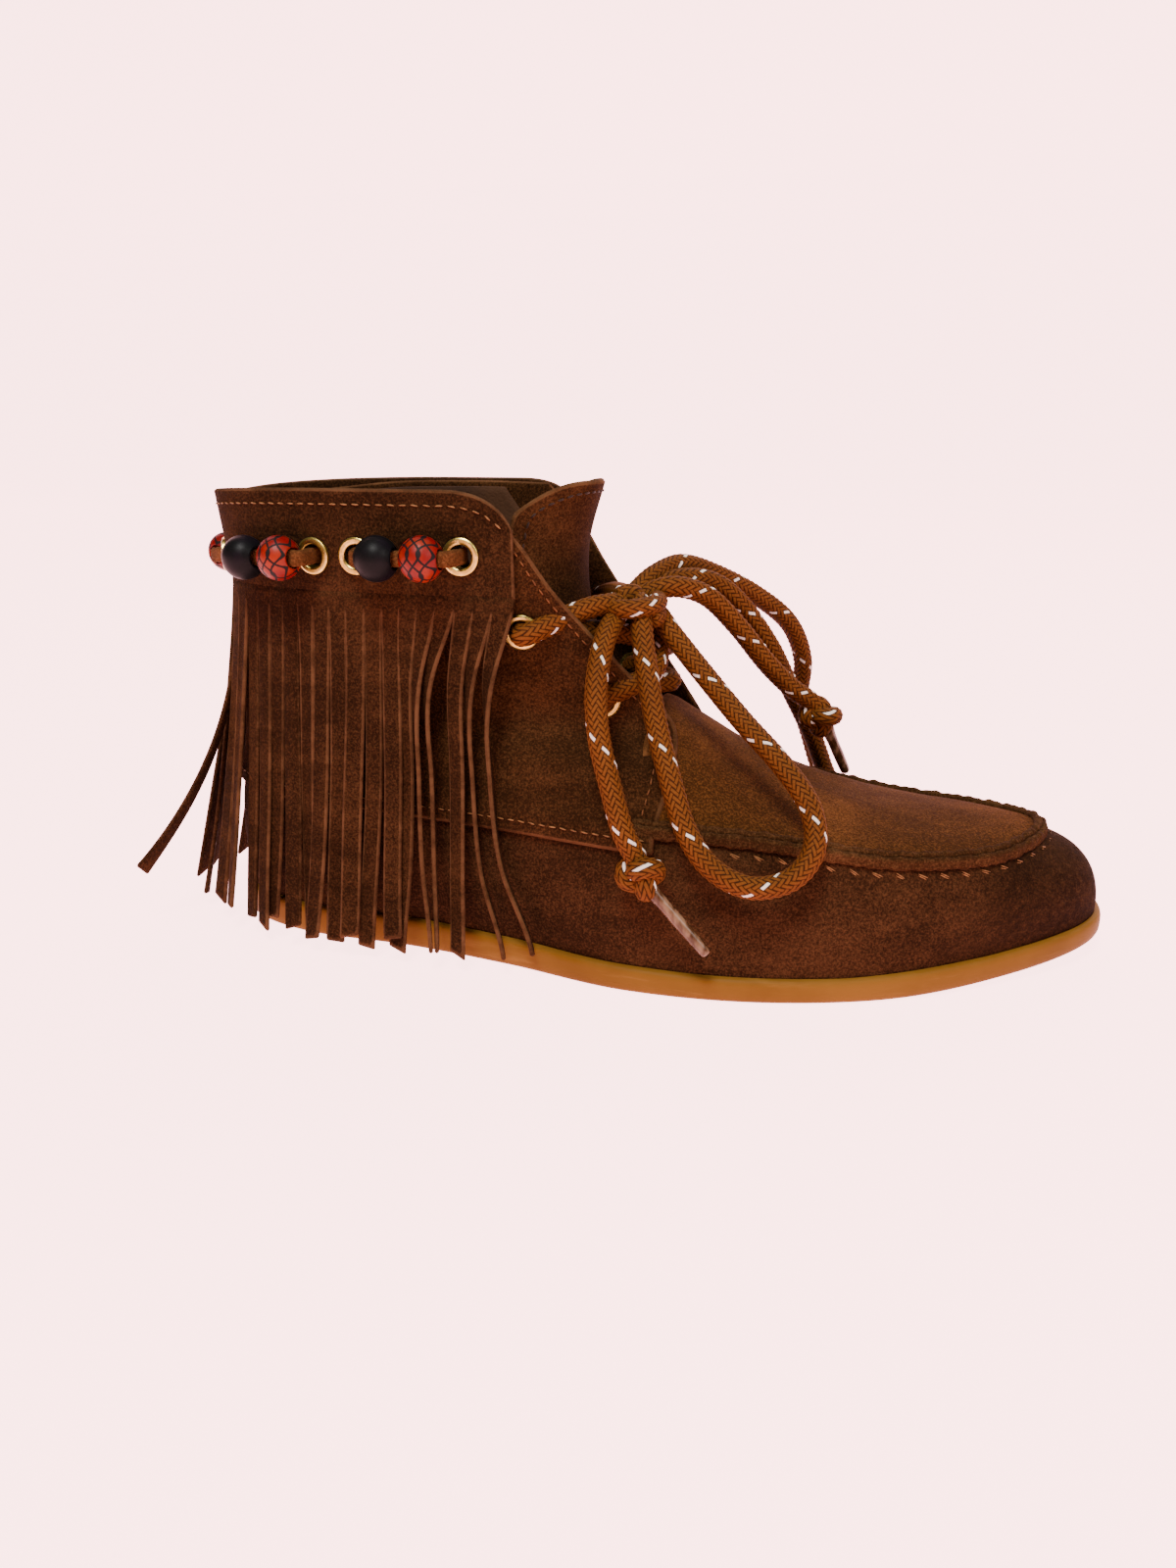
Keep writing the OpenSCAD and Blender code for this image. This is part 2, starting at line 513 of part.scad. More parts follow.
module bow_loop_medial() {
    color(LACE_BROWN) cord(LOOP_MEDIAL, 38, lace_d);
}
module lace_tail_lateral() {
    color(LACE_BROWN) cord(TAIL_LATERAL, 10, lace_d);
}
module lace_tail_medial() {
    color(LACE_BROWN) cord(TAIL_MEDIAL, 10, lace_d);
}
module stopper_knot_lateral() {
    color(LACE_BROWN) ball(STOPPER_LATERAL, 6);
}
module stopper_knot_medial() {
    color(LACE_BROWN) ball(STOPPER_MEDIAL, 6);
}
module aglet(P) {
    a = size_to(P[0]);
    b = size_to(P[1]);
    color("#9a6a4a") translate(a) point_along(b - a) cylinder(d = aglet_d, h = norm(b - a), $fn = 24);
}
module aglet_lateral() {
    aglet(AGLET_LATERAL);
}
module aglet_medial() {
    aglet(AGLET_MEDIAL);
}

outsole();
insole_board();
footbed();
heel_counter();
vamp_wall();
toe_plug();
quarter_lateral();
quarter_medial();
ankle_lining();
tongue();
fringe_collar();
eyelet_lateral_upper();
eyelet_lateral_lower();
eyelet_medial_upper();
eyelet_medial_lower();
collar_eyelets();
bead_thong();
lace_throat();
bow_knot();
bow_loop_lateral();
bow_loop_medial();
lace_tail_lateral();
lace_tail_medial();
stopper_knot_lateral();
stopper_knot_medial();
aglet_lateral();
aglet_medial();
for (g = [0:GROUPS - 1]) fringe_group(g);
for (i = [0:len(BEAD_NODES) - 1]) bead(i);
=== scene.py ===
# %% [markdown]
# # A fringed suede moccasin boot
# This file is a lesson in small cells. It loads the finished CAD model as a fixed frame, makes the suede,
# lace, beads and thread around it, and lets every piece but the fringe strips ride on the CAD body that it
# belongs to.
# Lengths in the helpers are millimetres, because a shoemaker thinks in them, and a mesh is turned into
# metres at the moment it is built.

# %% Load the frame
import math
import bpy
import numpy as np
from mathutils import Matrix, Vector


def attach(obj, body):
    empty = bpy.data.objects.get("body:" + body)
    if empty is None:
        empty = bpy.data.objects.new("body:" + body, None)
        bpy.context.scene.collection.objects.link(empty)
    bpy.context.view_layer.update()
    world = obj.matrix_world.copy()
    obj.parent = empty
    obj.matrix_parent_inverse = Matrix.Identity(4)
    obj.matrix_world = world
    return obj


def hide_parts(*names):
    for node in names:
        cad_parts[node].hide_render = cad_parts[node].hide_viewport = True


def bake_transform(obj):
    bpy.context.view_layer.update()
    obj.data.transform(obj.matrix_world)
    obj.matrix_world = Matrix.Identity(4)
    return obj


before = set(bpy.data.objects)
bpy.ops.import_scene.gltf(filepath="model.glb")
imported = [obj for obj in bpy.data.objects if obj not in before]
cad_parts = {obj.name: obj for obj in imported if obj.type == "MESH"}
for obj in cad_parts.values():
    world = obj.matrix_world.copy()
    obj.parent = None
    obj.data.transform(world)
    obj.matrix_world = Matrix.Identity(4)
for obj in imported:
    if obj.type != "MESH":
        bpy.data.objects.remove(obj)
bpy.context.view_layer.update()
MM = 0.001

# %% [markdown]
# ## Smooth curves through a few points
# A pattern cutter draws a shoe with a handful of points and a flexible curve. The same is done here with
# a cardinal spline: it passes through every point, so the points stay readable.

# %% Spline helpers
def spline4(a, b, c, d, t):
    return 0.5 * (2 * b + (c - a) * t + (2 * a - 5 * b + 4 * c - d) * t**2
                  + (3 * b - a - 3 * c + d) * t**3)


def open_pt(points, s):
    """A point of a smooth open curve, s from 0 to 1."""
    p = np.asarray(points, float)
    n = len(p) - 1
    x = np.clip(s, 0, 1) * n
    i = np.minimum(np.floor(x).astype(int), n - 1)
    t = (x - i)[..., None]
    return spline4(p[np.maximum(i - 1, 0)], p[i], p[i + 1], p[np.minimum(i + 2, n)], t)


def ring_pt(points, k):
    """A point of a smooth closed curve, k counted in control points."""
    p = np.asarray(points, float)
    n = len(p)
    i = np.floor(k).astype(int)
    t = (k - i)[..., None]
    return spline4(p[(i - 1) % n], p[i % n], p[(i + 1) % n], p[(i + 2) % n], t)


def unit(v):
    return v / np.maximum(np.linalg.norm(v, axis=-1, keepdims=True), 1e-9)


def blend_between(a, b, t):
    return a * (1 - t) + b * t


def smooth(x, low, high):
    """0 below low, 1 above high, and a soft step between them."""
    t = np.clip((x - low) / (high - low), 0, 1)
    return t * t * (3 - 2 * t)


def waves(p, size, seed):
    """Soft, repeatable unevenness from -1 to 1 over points p, with hills about size wide."""
    rng = np.random.default_rng(seed)
    total = np.zeros(p.shape[:-1])
    for _ in range(6):
        way = unit(rng.normal(size=3))
        total += np.sin(p @ way * (2 * math.pi / size) * rng.uniform(0.7, 1.4) + rng.uniform(0, 6.28))
    return total / 6


# %% [markdown]
# ## The last: one set of curves that every leather piece is cut from
# These are the same driving curves as the CAD model's: the sole's plan, the seam line, the quarter's
# edges and the collar. The CAD surfaces are coarse facets; here the same curves give fine, smooth suede.

# %% Driving curves of the shoe
SOLE_PLAN = [(-134, 0), (-123, -23), (-100, -34), (-66, -36.5), (-34, -42), (0, -50), (36, -49),
             (72, -38.5), (103, -20), (123, -3), (130, 12), (126, 28), (107, 41), (74, 46.5),
             (36, 43.5), (0, 37), (-34, 32), (-66, 31), (-100, 30), (-123, 21)]
SEAM = [(-131, 0, 47), (-121, -20.5, 47), (-100, -31.5, 46.5), (-66, -36, 46), (-34, -41, 45.5),
        (0, -44.5, 43.5), (36, -41, 41), (68, -33.5, 36), (93, -21, 34.7), (106, -6, 35.5),
        (110, 7, 36), (106, 20, 34.5), (93, 32, 33), (68, 39, 33.5), (36, 40, 38.5), (0, 39, 43.5),
        (-34, 35, 45.5), (-66, 33, 46), (-100, 29, 46.5), (-121, 19, 47)]
PLAN_N = 20          # points in the sole plan and in the seam line
TOE_K = 10
QUARTER_K = 5.2
PLUG_LIFT = 1.8      # the apron lies on the wall's edge
PLUG_CREST = [(3, 69.2), (8, 66), (14, 62.3), (22, 57.2), (31, 52.4), (41, 48.4), (50, 45),
              (60, 42), (80, 39), (98, 37.6), (109, 36.5)]
QUARTER_FRONT = [(7, -44, 44.5), (9.5, -34, 58), (8.3, -20, 67.8), (-2, -24, 80.5), (-12, -28.5, 92),
                 (-23, -33.5, 105.5), (-31, -35.6, 117), (-42, -36, 128.6)]
QUARTER_TOP = [(-130, 0, 125), (-125.5, -15, 125.3), (-111, -27.5, 126.6), (-90, -34.2, 128.6),
               (-65, -36, 129), (-42, -36, 128.6)]
BACK_SEAM = [(-131, 0, 47), (-128.5, 0, 70), (-126, 0, 90), (-126.2, 0, 108), (-130, 0, 125)]
BAND_FOOT = [(-128.6, 0), (-124, -16.5), (-111, -28.6), (-88, -36), (-60, -38.2), (-30.5, -38)]
BAND_TOP = [(-132.6, 0), (-127.6, -17), (-112.5, -29.6), (-89, -36.6), (-61, -38.6), (-30.5, -38.2)]
COLLAR_FOOT, COLLAR_TOP = 103.0, 130.0
BAND_H = COLLAR_TOP - COLLAR_FOOT
SUEDE_T, FRINGE_T = 1.6, 1.2
SOLE_TOP_X = [-140, -100, -60, -20, 20, 60, 96, 122, 140]
SOLE_TOP_Z = [9.2, 9.2, 8.8, 7.8, 6.9, 6.8, 8.6, 11.2, 14]


def sole_top_z(x):
    return np.interp(x, SOLE_TOP_X, SOLE_TOP_Z)


def spring_z(x):
    return np.where(x < 60, 0, 6 * ((x - 60) / 72) ** 2)


def plan_pt(k, inset=0.0):
    p = ring_pt(SOLE_PLAN, k)
    t = unit(ring_pt(SOLE_PLAN, k + 0.06) - ring_pt(SOLE_PLAN, k - 0.06))
    return p + inset * np.stack([-t[..., 1], t[..., 0]], -1)


def seam_pt(k):
    return ring_pt(SEAM, k)


def toe_weight(k):
    return np.exp(-(((k % PLAN_N) - TOE_K) / 1.9) ** 2)


def wall_pt(k, v):
    """The low wall that runs round the foot: v is 0 at the sole and 1 at the seam."""
    f = plan_pt(k, 2.2)
    foot = np.concatenate([f, (sole_top_z(f[..., 0]) - 0.4)[..., None]], -1)
    top = seam_pt(k)
    out = unit(np.cross(seam_pt(k + 0.1) - seam_pt(k - 0.1), top - foot))
    bulge = (2 + 4.2 * toe_weight(k)) * np.sin(np.pi * np.clip(v, 0, 1)) ** 0.85
    return blend_between(foot, top, v[..., None]) + out * bulge[..., None]


def plug_pt(m, w):
    """The apron: m is counted back from the toe, w runs from the outer side to the inner side."""
    a, b = seam_pt(TOE_K - m), seam_pt(TOE_K + m)
    c = blend_between(a, b, w[..., None])
    xs, zs = zip(*PLUG_CREST)
    crest = np.interp(c[..., 0], xs, zs)
    rise = np.maximum(crest - (a[..., 2] + b[..., 2]) / 2, 0)
    arch = 1 - np.abs(2 * w - 1) ** 2.4
    return c + np.stack([0 * arch, 0 * arch, PLUG_LIFT + rise * arch], -1)


def mirrored(p):
    return p * np.array([1, -1, 1])


def front_edge(v, side):
    p = open_pt(QUARTER_FRONT, v)
    if side < 0:
        return p
    return mirrored(p) - np.stack([0 * v, 2.5 * (1 - v), 0 * v], -1)


def quarter_pt(u, v, side):
    """A quarter: u runs from the heel to its front edge, v from the seam to the collar."""
    s = seam_pt(QUARTER_K * u if side < 0 else PLAN_N - QUARTER_K * u)
    top = open_pt(QUARTER_TOP, u)
    if side > 0:
        top = mirrored(top)
    t = v[..., None]
    first, last = np.array(BACK_SEAM, float)[[0, -1]]
    back = open_pt(BACK_SEAM, v) - blend_between(first, last, t)
    zero = np.zeros_like(v)
    edge = front_edge(v, side) - blend_between(front_edge(zero, side), front_edge(zero + 1, side), t)
    return blend_between(s, top, t) + back * ((1 - u) ** 2)[..., None] + edge * (u**3)[..., None]


def collar_pt(c, h):
    """The collar's outer face: c from -1 at the inner front, 0 at the heel, to 1 at the outer front."""
    a = np.abs(c)
    p = blend_between(open_pt(BAND_FOOT, a), open_pt(BAND_TOP, a), h[..., None])
    y = np.where(c > 0, p[..., 1], -p[..., 1])
    return np.stack([p[..., 0], y, COLLAR_FOOT + h * BAND_H], -1)


def collar_out(c):
    h = 0 * c + 0.4
    t = unit(collar_pt(c + 0.01, h) - collar_pt(c - 0.01, h))
    return np.stack([t[..., 1], -t[..., 0], 0 * c], -1)


def band_top(c):
    """Height of the band's top edge as a share of its full height; it is rounded off in front."""
    x = collar_pt(c, 0 * c + 1)[..., 0]
    over = np.clip((x + 52) / 21.5, 0, 0.999)
    edge = COLLAR_TOP - 3.4 * (1 - np.minimum(1, np.abs(c) * 1.4)) ** 2
    return (edge - 16 * (1 - np.sqrt(1 - over**2.6)) - COLLAR_FOOT) / BAND_H


print("toe of the seam at", seam_pt(np.array(float(TOE_K))).round(1), "mm")

# %% [markdown]
# ## Camera
# The shoe is seen from a little above the floor, from its outer side, with the toe turned a few degrees
# towards the viewer.

# %% Camera
CAMERA_AT = (0.0585, -0.3311, 0.146)
CAMERA_PITCH, CAMERA_YAW = 16.92, -13.47
scene = bpy.context.scene
camera = bpy.data.objects.new("camera", bpy.data.cameras.new("camera"))
scene.collection.objects.link(camera)
camera.location = CAMERA_AT
camera.rotation_euler = (math.radians(90 - CAMERA_PITCH), 0, math.radians(-CAMERA_YAW))
camera.data.sensor_width = 36
camera.data.lens = 27
camera.data.clip_start = 0.01
scene.camera = camera
print("camera at", CAMERA_AT)

# %% [markdown]
# ## Meshes from grids
# Suede pieces are sheets. A sheet is a grid of points on its outer face; the inner face is the same grid
# moved back along the normals by the suede's thickness, and a rounded rim joins the two. The grid also
# gives the piece a UV map in millimetres and an "edge" attribute, which the suede shader uses to make
# the cut edges paler and fuzzier.


# %% Mesh helpers
def new_object(name, mesh, material):
    mesh.materials.append(material)
    obj = bpy.data.objects.new(name, mesh)
    scene.collection.objects.link(obj)
    return obj


def make_object(name, verts, faces, material, uv=None, edge=None):
    """A smooth mesh from millimetres, turned so that its faces look outwards."""
    mesh = bpy.data.meshes.new(name)
    mesh.from_pydata((np.asarray(verts) * MM).tolist(), [], faces)
    mesh.validate()
    p = np.asarray(verts)
    volume = 0.0
    for f in faces:
        for j in range(1, len(f) - 1):
            volume += np.dot(p[f[0]], np.cross(p[f[j]], p[f[j + 1]]))
    if volume < 0:
        mesh.flip_normals()
    if uv is not None:
        layer = mesh.uv_layers.new(name="UVMap")
        index = np.empty(len(mesh.loops), int)
        mesh.loops.foreach_get("vertex_index", index)
        layer.data.foreach_set("uv", np.asarray(uv, float)[index].ravel())
    if edge is not None:
        mesh.attributes.new("edge", "FLOAT", "POINT").data.foreach_set("value", np.asarray(edge, float))
    mesh.shade_smooth()
    return new_object(name, mesh, material)


def grid_normals(g, ring=False):
    if ring:
        dj = np.roll(g, -1, 1) - np.roll(g, 1, 1)
    else:
        dj = np.gradient(g, axis=1)
    return unit(np.cross(dj, np.gradient(g, axis=0)))


def lengths_along(g, axis):
    steps = np.linalg.norm(np.diff(g, axis=axis), axis=-1)
    zero = np.zeros_like(np.take(steps, [0], axis))
    return np.cumsum(np.concatenate([zero, steps], axis), axis)


RIM = 0.4            # how far a cut edge is rounded out, as a share of the thickness
EDGE_FADE = 0.35     # distance in which the pale cut edge fades


def leather_data(g, thickness, inset=0.0, ring=False, plain_foot=False):
    """Points, faces, UVs and edge values of a closed sheet whose outer face is grid g."""
    n = grid_normals(g, ring)
    r, c = g.shape[:2]
    outer = g - inset * n
    inner = g - (inset + thickness) * n
    up = unit(np.gradient(g, axis=0))
    mid = g - (inset + thickness / 2) * n
    head = mid[-1] + up[-1] * thickness * RIM
    foot = mid[0] - up[0] * thickness * RIM
    rows = np.concatenate([outer, head[None], inner[::-1], foot[None]], 0)
    count = len(rows)
    u, v = lengths_along(g, 1), lengths_along(g, 0)
    to_side = np.minimum(v, v[-1:] - v)
    if not ring:
        to_side = np.minimum(to_side, np.minimum(u, u[:, -1:] - u))
    edge_out = np.exp(-to_side / EDGE_FADE)
    round_v = np.concatenate([v, v[-1:], v[::-1], v[:1]], 0)
    uv = np.stack([np.concatenate([u, u[-1:], u[::-1], u[:1]], 0), round_v], -1)
    one = np.ones((1, c))
    edge = np.concatenate([edge_out, one, edge_out[::-1] * 0.6, one], 0)
    if plain_foot:
        edge = edge * round_v.clip(0, 1)
        rows[-1] = mid[0]
    verts = rows.reshape(-1, 3)
    faces = grid_faces(count, c, c if ring else c - 1)
    verts, uv, edge = verts.tolist(), uv.reshape(-1, 2).tolist(), edge.ravel().tolist()
    if not ring:
        side = unit(np.gradient(g, axis=1))
        for col, sign in ((0, -1), (c - 1, 1)):
            base = len(verts)
            rim = mid[:, col] + sign * side[:, col] * thickness * RIM
            verts += rim.tolist()
            uv += np.stack([u[:, col], v[:, col]], -1).tolist()
            edge += [1.0] * r
            quads = []
            for i in range(r - 1):
                o, p = i * c + col, (i + 1) * c + col
                a, b = (count - 2 - i) * c + col, (count - 3 - i) * c + col
                quads += [(o, p, base + i + 1, base + i), (base + i, base + i + 1, b, a)]
            quads += [((r - 1) * c + col, r * c + col, base + r - 1),
                      (r * c + col, (r + 1) * c + col, base + r - 1),
                      (col, base, (count - 1) * c + col),
                      ((count - 1) * c + col, base, (count - 2) * c + col)]
            faces += [q if sign < 0 else q[::-1] for q in quads]
    return verts, faces, uv, edge


def grid_faces(rows, cols, last):
    """Quads between rows of points that close round from the last row to the first."""
    faces = []
    for i in range(rows):
        k = (i + 1) % rows
        for j in range(last):
            m = (j + 1) % cols
            faces.append((i * cols + j, i * cols + m, k * cols + m, k * cols + j))
    return faces


def leather(name, g, thickness, material, body, inset=0.0, ring=False, plain_foot=False):
    verts, faces, uv, edge = leather_data(g, thickness, inset, ring, plain_foot=plain_foot)
    obj = make_object(name, verts, faces, material, np.array(uv) * MM, edge)
    print(f"{name}: {len(obj.data.polygons)} faces")
    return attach(obj, body) if body else obj


def roughen(g, height, size, seed, ring=False):
    """Soft unevenness of hand-lasted suede."""
    return g + grid_normals(g, ring) * (waves(g, size, seed) * height)[..., None]


def mesh_grid(rows, cols):
    return np.meshgrid(rows, cols, indexing="ij")


# %% [markdown]
# ## Tubes: laces, thong and seams
# A tube is a cross-section carried along a path. The frame of the cross-section is carried from one ring
# to the next, so that it never twists by itself. A lace gets its braid as real relief: two families of
# strands run round it both ways, and each little cell of the pattern is lifted where a strand is on top.


# %% Path and tube helpers
def distances(path):
    """Distance along a path at each of its points."""
    return np.concatenate([[0], np.cumsum(np.linalg.norm(np.diff(path, axis=0), axis=1))])


def resampled(points, step):
    """A smooth path through points with even steps, in millimetres."""
    fine = open_pt(points, np.linspace(0, 1, 40 * len(points)))
    run = distances(fine)
    count = max(int(run[-1] / step), 2)
    want = np.linspace(0, run[-1], count + 1)
    return np.stack([np.interp(want, run, fine[:, i]) for i in range(3)], -1)


def carried_frames(path, start):
    t = unit(np.gradient(path, axis=0))
    side = np.zeros_like(path)
    s = np.asarray(start, float)
    for i in range(len(path)):
        s = s - t[i] * (s @ t[i])
        s = s / np.linalg.norm(s)
        side[i] = s
    return t, side, np.cross(t, side)


def tube_data(path, radius, sides, start=(0.11, 0.2, 0.97)):
    """radius is a function of (distance along, share round) and gives an array."""
    t, a, b = carried_frames(path, start)
    run = distances(path)
    turn = np.arange(sides) / sides
    s, w = mesh_grid(run, turn)
    r = radius(s, w)
    ca, sa = np.cos(2 * np.pi * w), np.sin(2 * np.pi * w)
    ring = path[:, None] + (r * ca)[..., None] * a[:, None] + (r * sa)[..., None] * b[:, None]
    n = len(path)
    verts = np.concatenate([ring.reshape(-1, 3), path[:1], path[-1:]])
    faces = []
    uvs = []
    for i in range(n - 1):
        for j in range(sides):
            k = (j + 1) % sides
            faces.append((i * sides + j, i * sides + k, (i + 1) * sides + k, (i + 1) * sides + j))
            w0, w1 = j / sides, (j + 1) / sides
            uvs += [(run[i], w0), (run[i], w1), (run[i + 1], w1), (run[i + 1], w0)]
    for j in range(sides):
        k = (j + 1) % sides
        faces.append((j, n * sides, k))
        faces.append(((n - 1) * sides + j, (n - 1) * sides + k, n * sides + 1))
        uvs += [(0, j / sides), (0, j / sides), (0, (j + 1) / sides)]
        uvs += [(run[-1], j / sides), (run[-1], (j + 1) / sides), (run[-1], j / sides)]
    return verts, faces, uvs


def tube_object(name, parts, material):
    """One mesh from several tube_data results; the UV map holds (distance in mm, share round)."""
    verts, faces, uvs = [], [], []
    for v, f, uv in parts:
        base = len(verts)
        verts += v.tolist()
        faces += [tuple(base + i for i in q) for q in f]
        uvs += uv
    mesh = bpy.data.meshes.new(name)
    mesh.from_pydata((np.array(verts) * MM).tolist(), [], faces)
    layer = mesh.uv_layers.new(name="UVMap")
    layer.data.foreach_set("uv", np.array(uvs, float).ravel())
    mesh.flip_normals()
    mesh.shade_smooth()
    return new_object(name, mesh, material)


LACE_D = 6.0
STRANDS = 12         # strands each way round the braid
BRAID_TURN = 24.0    # length of one turn of a strand
LACE_SIDES, LACE_STEP = 44, 0.4


def braid_radius(s, w):
    """Radius of the lace at distance s and share w round it; each strand floats over two others."""
    a = STRANDS * (w + s / BRAID_TURN)
    b = STRANDS * (w - s / BRAID_TURN)
    cell = (np.floor(a) + np.floor(b)) % 4
    a_on_top = cell < 2
    fa, fb = a % 1, b % 1
    across = np.where(a_on_top, fa, fb)
    along = np.where(a_on_top, (cell + fb) / 2, (cell - 2 + fa) / 2)
    lift = np.sin(np.pi * across) ** 0.6 * (0.5 + 0.5 * np.sin(np.pi * along))
    return LACE_D / 2 * (0.87 + 0.15 * lift)


def lace_data(points):
    return tube_data(resampled(points, LACE_STEP), braid_radius, LACE_SIDES)


# %% [markdown]
# ## Writing shader maths as plain expressions
# Blender's shader nodes are wired by hand in the editor. In a script it reads better as sums. The small
# class below wraps one socket and overloads the operators, so `1 - mask * 0.5` adds two Math nodes.


# %% The Wire class
class Wire:
    def __init__(self, tree, socket):
        self.tree, self.socket = tree, socket

    def math(self, operation, other=None, swap=False):
        pair = [self, other] if not swap else [other, self]
        n = self.tree.nodes.new("ShaderNodeMath")
        n.operation = operation
        for i, value in enumerate(pair):
            if value is not None:
                plug_in(self.tree, value, n.inputs[i])
        return Wire(self.tree, n.outputs[0])

    def __add__(self, other):
        return self.math("ADD", other)

    __radd__ = __add__

    def __mul__(self, other):
        return self.math("MULTIPLY", other)

    __rmul__ = __mul__

    def __sub__(self, other):
        return self.math("SUBTRACT", other)

    def __rsub__(self, other):
        return self.math("SUBTRACT", other, swap=True)

    def __truediv__(self, other):
        return self.math("DIVIDE", other)

    def __rtruediv__(self, other):
        return self.math("DIVIDE", other, swap=True)

    def ramp(self, low, high):
        """0 below low, 1 above high, smooth between."""
        return add_node(self.tree, "ShaderNodeMapRange", {"interpolation_type": "SMOOTHSTEP"}, 0,
                        **{"Value": self, "From Min": low, "From Max": high})

    def mix(self, a, b):
        """Colour a where this is 0 and colour b where it is 1."""
        n = self.tree.nodes.new("ShaderNodeMix")
        n.data_type = "RGBA"
        plug_in(self.tree, self, n.inputs[0])
        plug_in(self.tree, a, n.inputs[6])
        plug_in(self.tree, b, n.inputs[7])
        return Wire(self.tree, n.outputs[2])


def plug_in(tree, value, socket):
    if isinstance(value, Wire):
        tree.links.new(value.socket, socket)
    elif isinstance(value, (tuple, list)) and len(value) == 3 and len(socket.default_value) == 4:
        socket.default_value = (*value, 1)
    else:
        socket.default_value = value


def add_node(tree, kind, settings=None, out=0, **inputs):
    n = tree.nodes.new(kind)
    for key, value in (settings or {}).items():
        setattr(n, key, value)
    for key, value in inputs.items():
        plug_in(tree, value, n.inputs[key])
    return Wire(tree, n.outputs[out])


def new_material(name, base, **constants):
    """A Principled material; constants are set on the shader's own sockets."""
    mat = bpy.data.materials.new(name)
    mat.use_nodes = True
    shader = mat.node_tree.nodes["Principled BSDF"]
    shader.inputs["Base Color"].default_value = (*base, 1)
    for key, value in constants.items():
        socket = shader.inputs[key.replace("_", " ")]
        socket.default_value = (*value, 1) if isinstance(value, tuple) else value
    return mat, mat.node_tree, shader


def noise(tree, scale, detail=3, rough=0.55, stretch=None):
    """Noise on object coordinates; scale counts hills per metre."""
    vector = add_node(tree, "ShaderNodeTexCoord", out=3)
    if stretch:
        vector = add_node(tree, "ShaderNodeMapping", Vector=vector, Scale=stretch)
    return add_node(tree, "ShaderNodeTexNoise", None, 0, Vector=vector, Scale=scale, Detail=detail,
                    Roughness=rough)


def bump(tree, shader, height, strength, distance, under=None):
    inputs = {"Height": height, "Strength": strength, "Distance": distance}
    if under is not None:
        inputs["Normal"] = under
    wire = add_node(tree, "ShaderNodeBump", None, 0, **inputs)
    tree.links.new(wire.socket, shader.inputs["Normal"])
    return wire


def link(tree, wire, shader, name):
    tree.links.new(wire.socket, shader.inputs[name])


def split_xyz(wire):
    """The three parts of a vector wire."""
    parts = wire.tree.nodes.new("ShaderNodeSeparateXYZ")
    wire.tree.links.new(wire.socket, parts.inputs[0])
    return [Wire(wire.tree, out) for out in parts.outputs]


# %% [markdown]
# ## Suede
# Suede is the brushed flesh side of a hide. Close up it is a mat of short fibres, so it has no clean
# highlight but a soft glow at grazing angles, which is what the sheen is for. Fingers and brushes leave
# lighter and darker patches, and a cut edge shows the paler fibres inside.


# %% Suede materials
def suede(name, dark, light, pale, patch=26, burnish=None, glow=0.05):
    mat, tree, shader = new_material(name, dark, Roughness=0.95, Sheen_Weight=glow,
                                     Sheen_Roughness=0.5, Sheen_Tint=pale, Specular_IOR_Level=0.02)
    patches = noise(tree, patch, 4, 0.6).ramp(0.36, 0.66)
    brushed = noise(tree, 130, 3, 0.6, stretch=(0.35, 1, 1.3)).ramp(0.35, 0.7)
    fibres = noise(tree, 1650, 4, 0.8)
    grain = (fibres.ramp(0.36, 0.68) - 0.4) * 1.05
    colour = (patches * 0.38 + brushed * 0.24 + grain).mix(dark, light)
    edge = add_node(tree, "ShaderNodeAttribute", {"attribute_name": "edge"}, 2)
    cut = (edge * 1.25 + (noise(tree, 900, 2) - 0.5) * 0.5).ramp(0.55, 1.0)
    colour = (cut * (0.35 + brushed * 0.6)).mix(colour, pale)
    if burnish:
        colour = burnish(tree).mix(colour, tuple(0.33 * c for c in dark))
    link(tree, colour, shader, "Base Color")
    link(tree, 0.84 + fibres * 0.16, shader, "Roughness")
    fine = bump(tree, shader, fibres, 0.8, 0.0005)
    bump(tree, shader, noise(tree, 420, 3, 0.6), 0.45, 0.0008, under=fine)
    return mat


def toe_burnish(tree):
    """The toe of the wall is rubbed darker, with a broken edge to the dark patch."""
    x, _, z = split_xyz(add_node(tree, "ShaderNodeTexCoord", out=3))
    front = (x + (noise(tree, 60, 4, 0.7) - 0.5) * 0.05).ramp(0.066, 0.122)
    low = 1 - (z + (noise(tree, 90, 3) - 0.5) * 0.012).ramp(0.012, 0.05) * 0.45
    specks = noise(tree, 520, 3, 0.75).ramp(0.32, 0.62)
    return front * low * (0.35 + specks * 0.5)


# For each suede: the dark and the light of the nap, and the pale fibres of a cut edge
SUEDE_WALL = suede("suede_wall", (0.0088, 0.0034, 0.0012), (0.043, 0.0180, 0.0070),
                   (0.062, 0.028, 0.012), burnish=toe_burnish)
SUEDE_QUARTER = suede("suede_quarter", (0.0100, 0.0037, 0.0012), (0.047, 0.0188, 0.0066),
                      (0.068, 0.031, 0.013))
SUEDE_PLUG = suede("suede_plug", (0.019, 0.0068, 0.0016), (0.084, 0.0300, 0.0076),
                   (0.09, 0.038, 0.014), patch=34)
SUEDE_LIP = suede("suede_lip", (0.016, 0.0060, 0.0019), (0.058, 0.0262, 0.0098),
                  (0.08, 0.036, 0.014), patch=34)
SUEDE_FRINGE = suede("suede_fringe", (0.0076, 0.0029, 0.0010), (0.036, 0.0150, 0.0056),
                     (0.062, 0.029, 0.013))
SUEDE_THONG = suede("suede_thong", (0.034, 0.0125, 0.0040), (0.10, 0.039, 0.0135),
                    (0.12, 0.052, 0.021), glow=0.1)
print("suede materials ready")


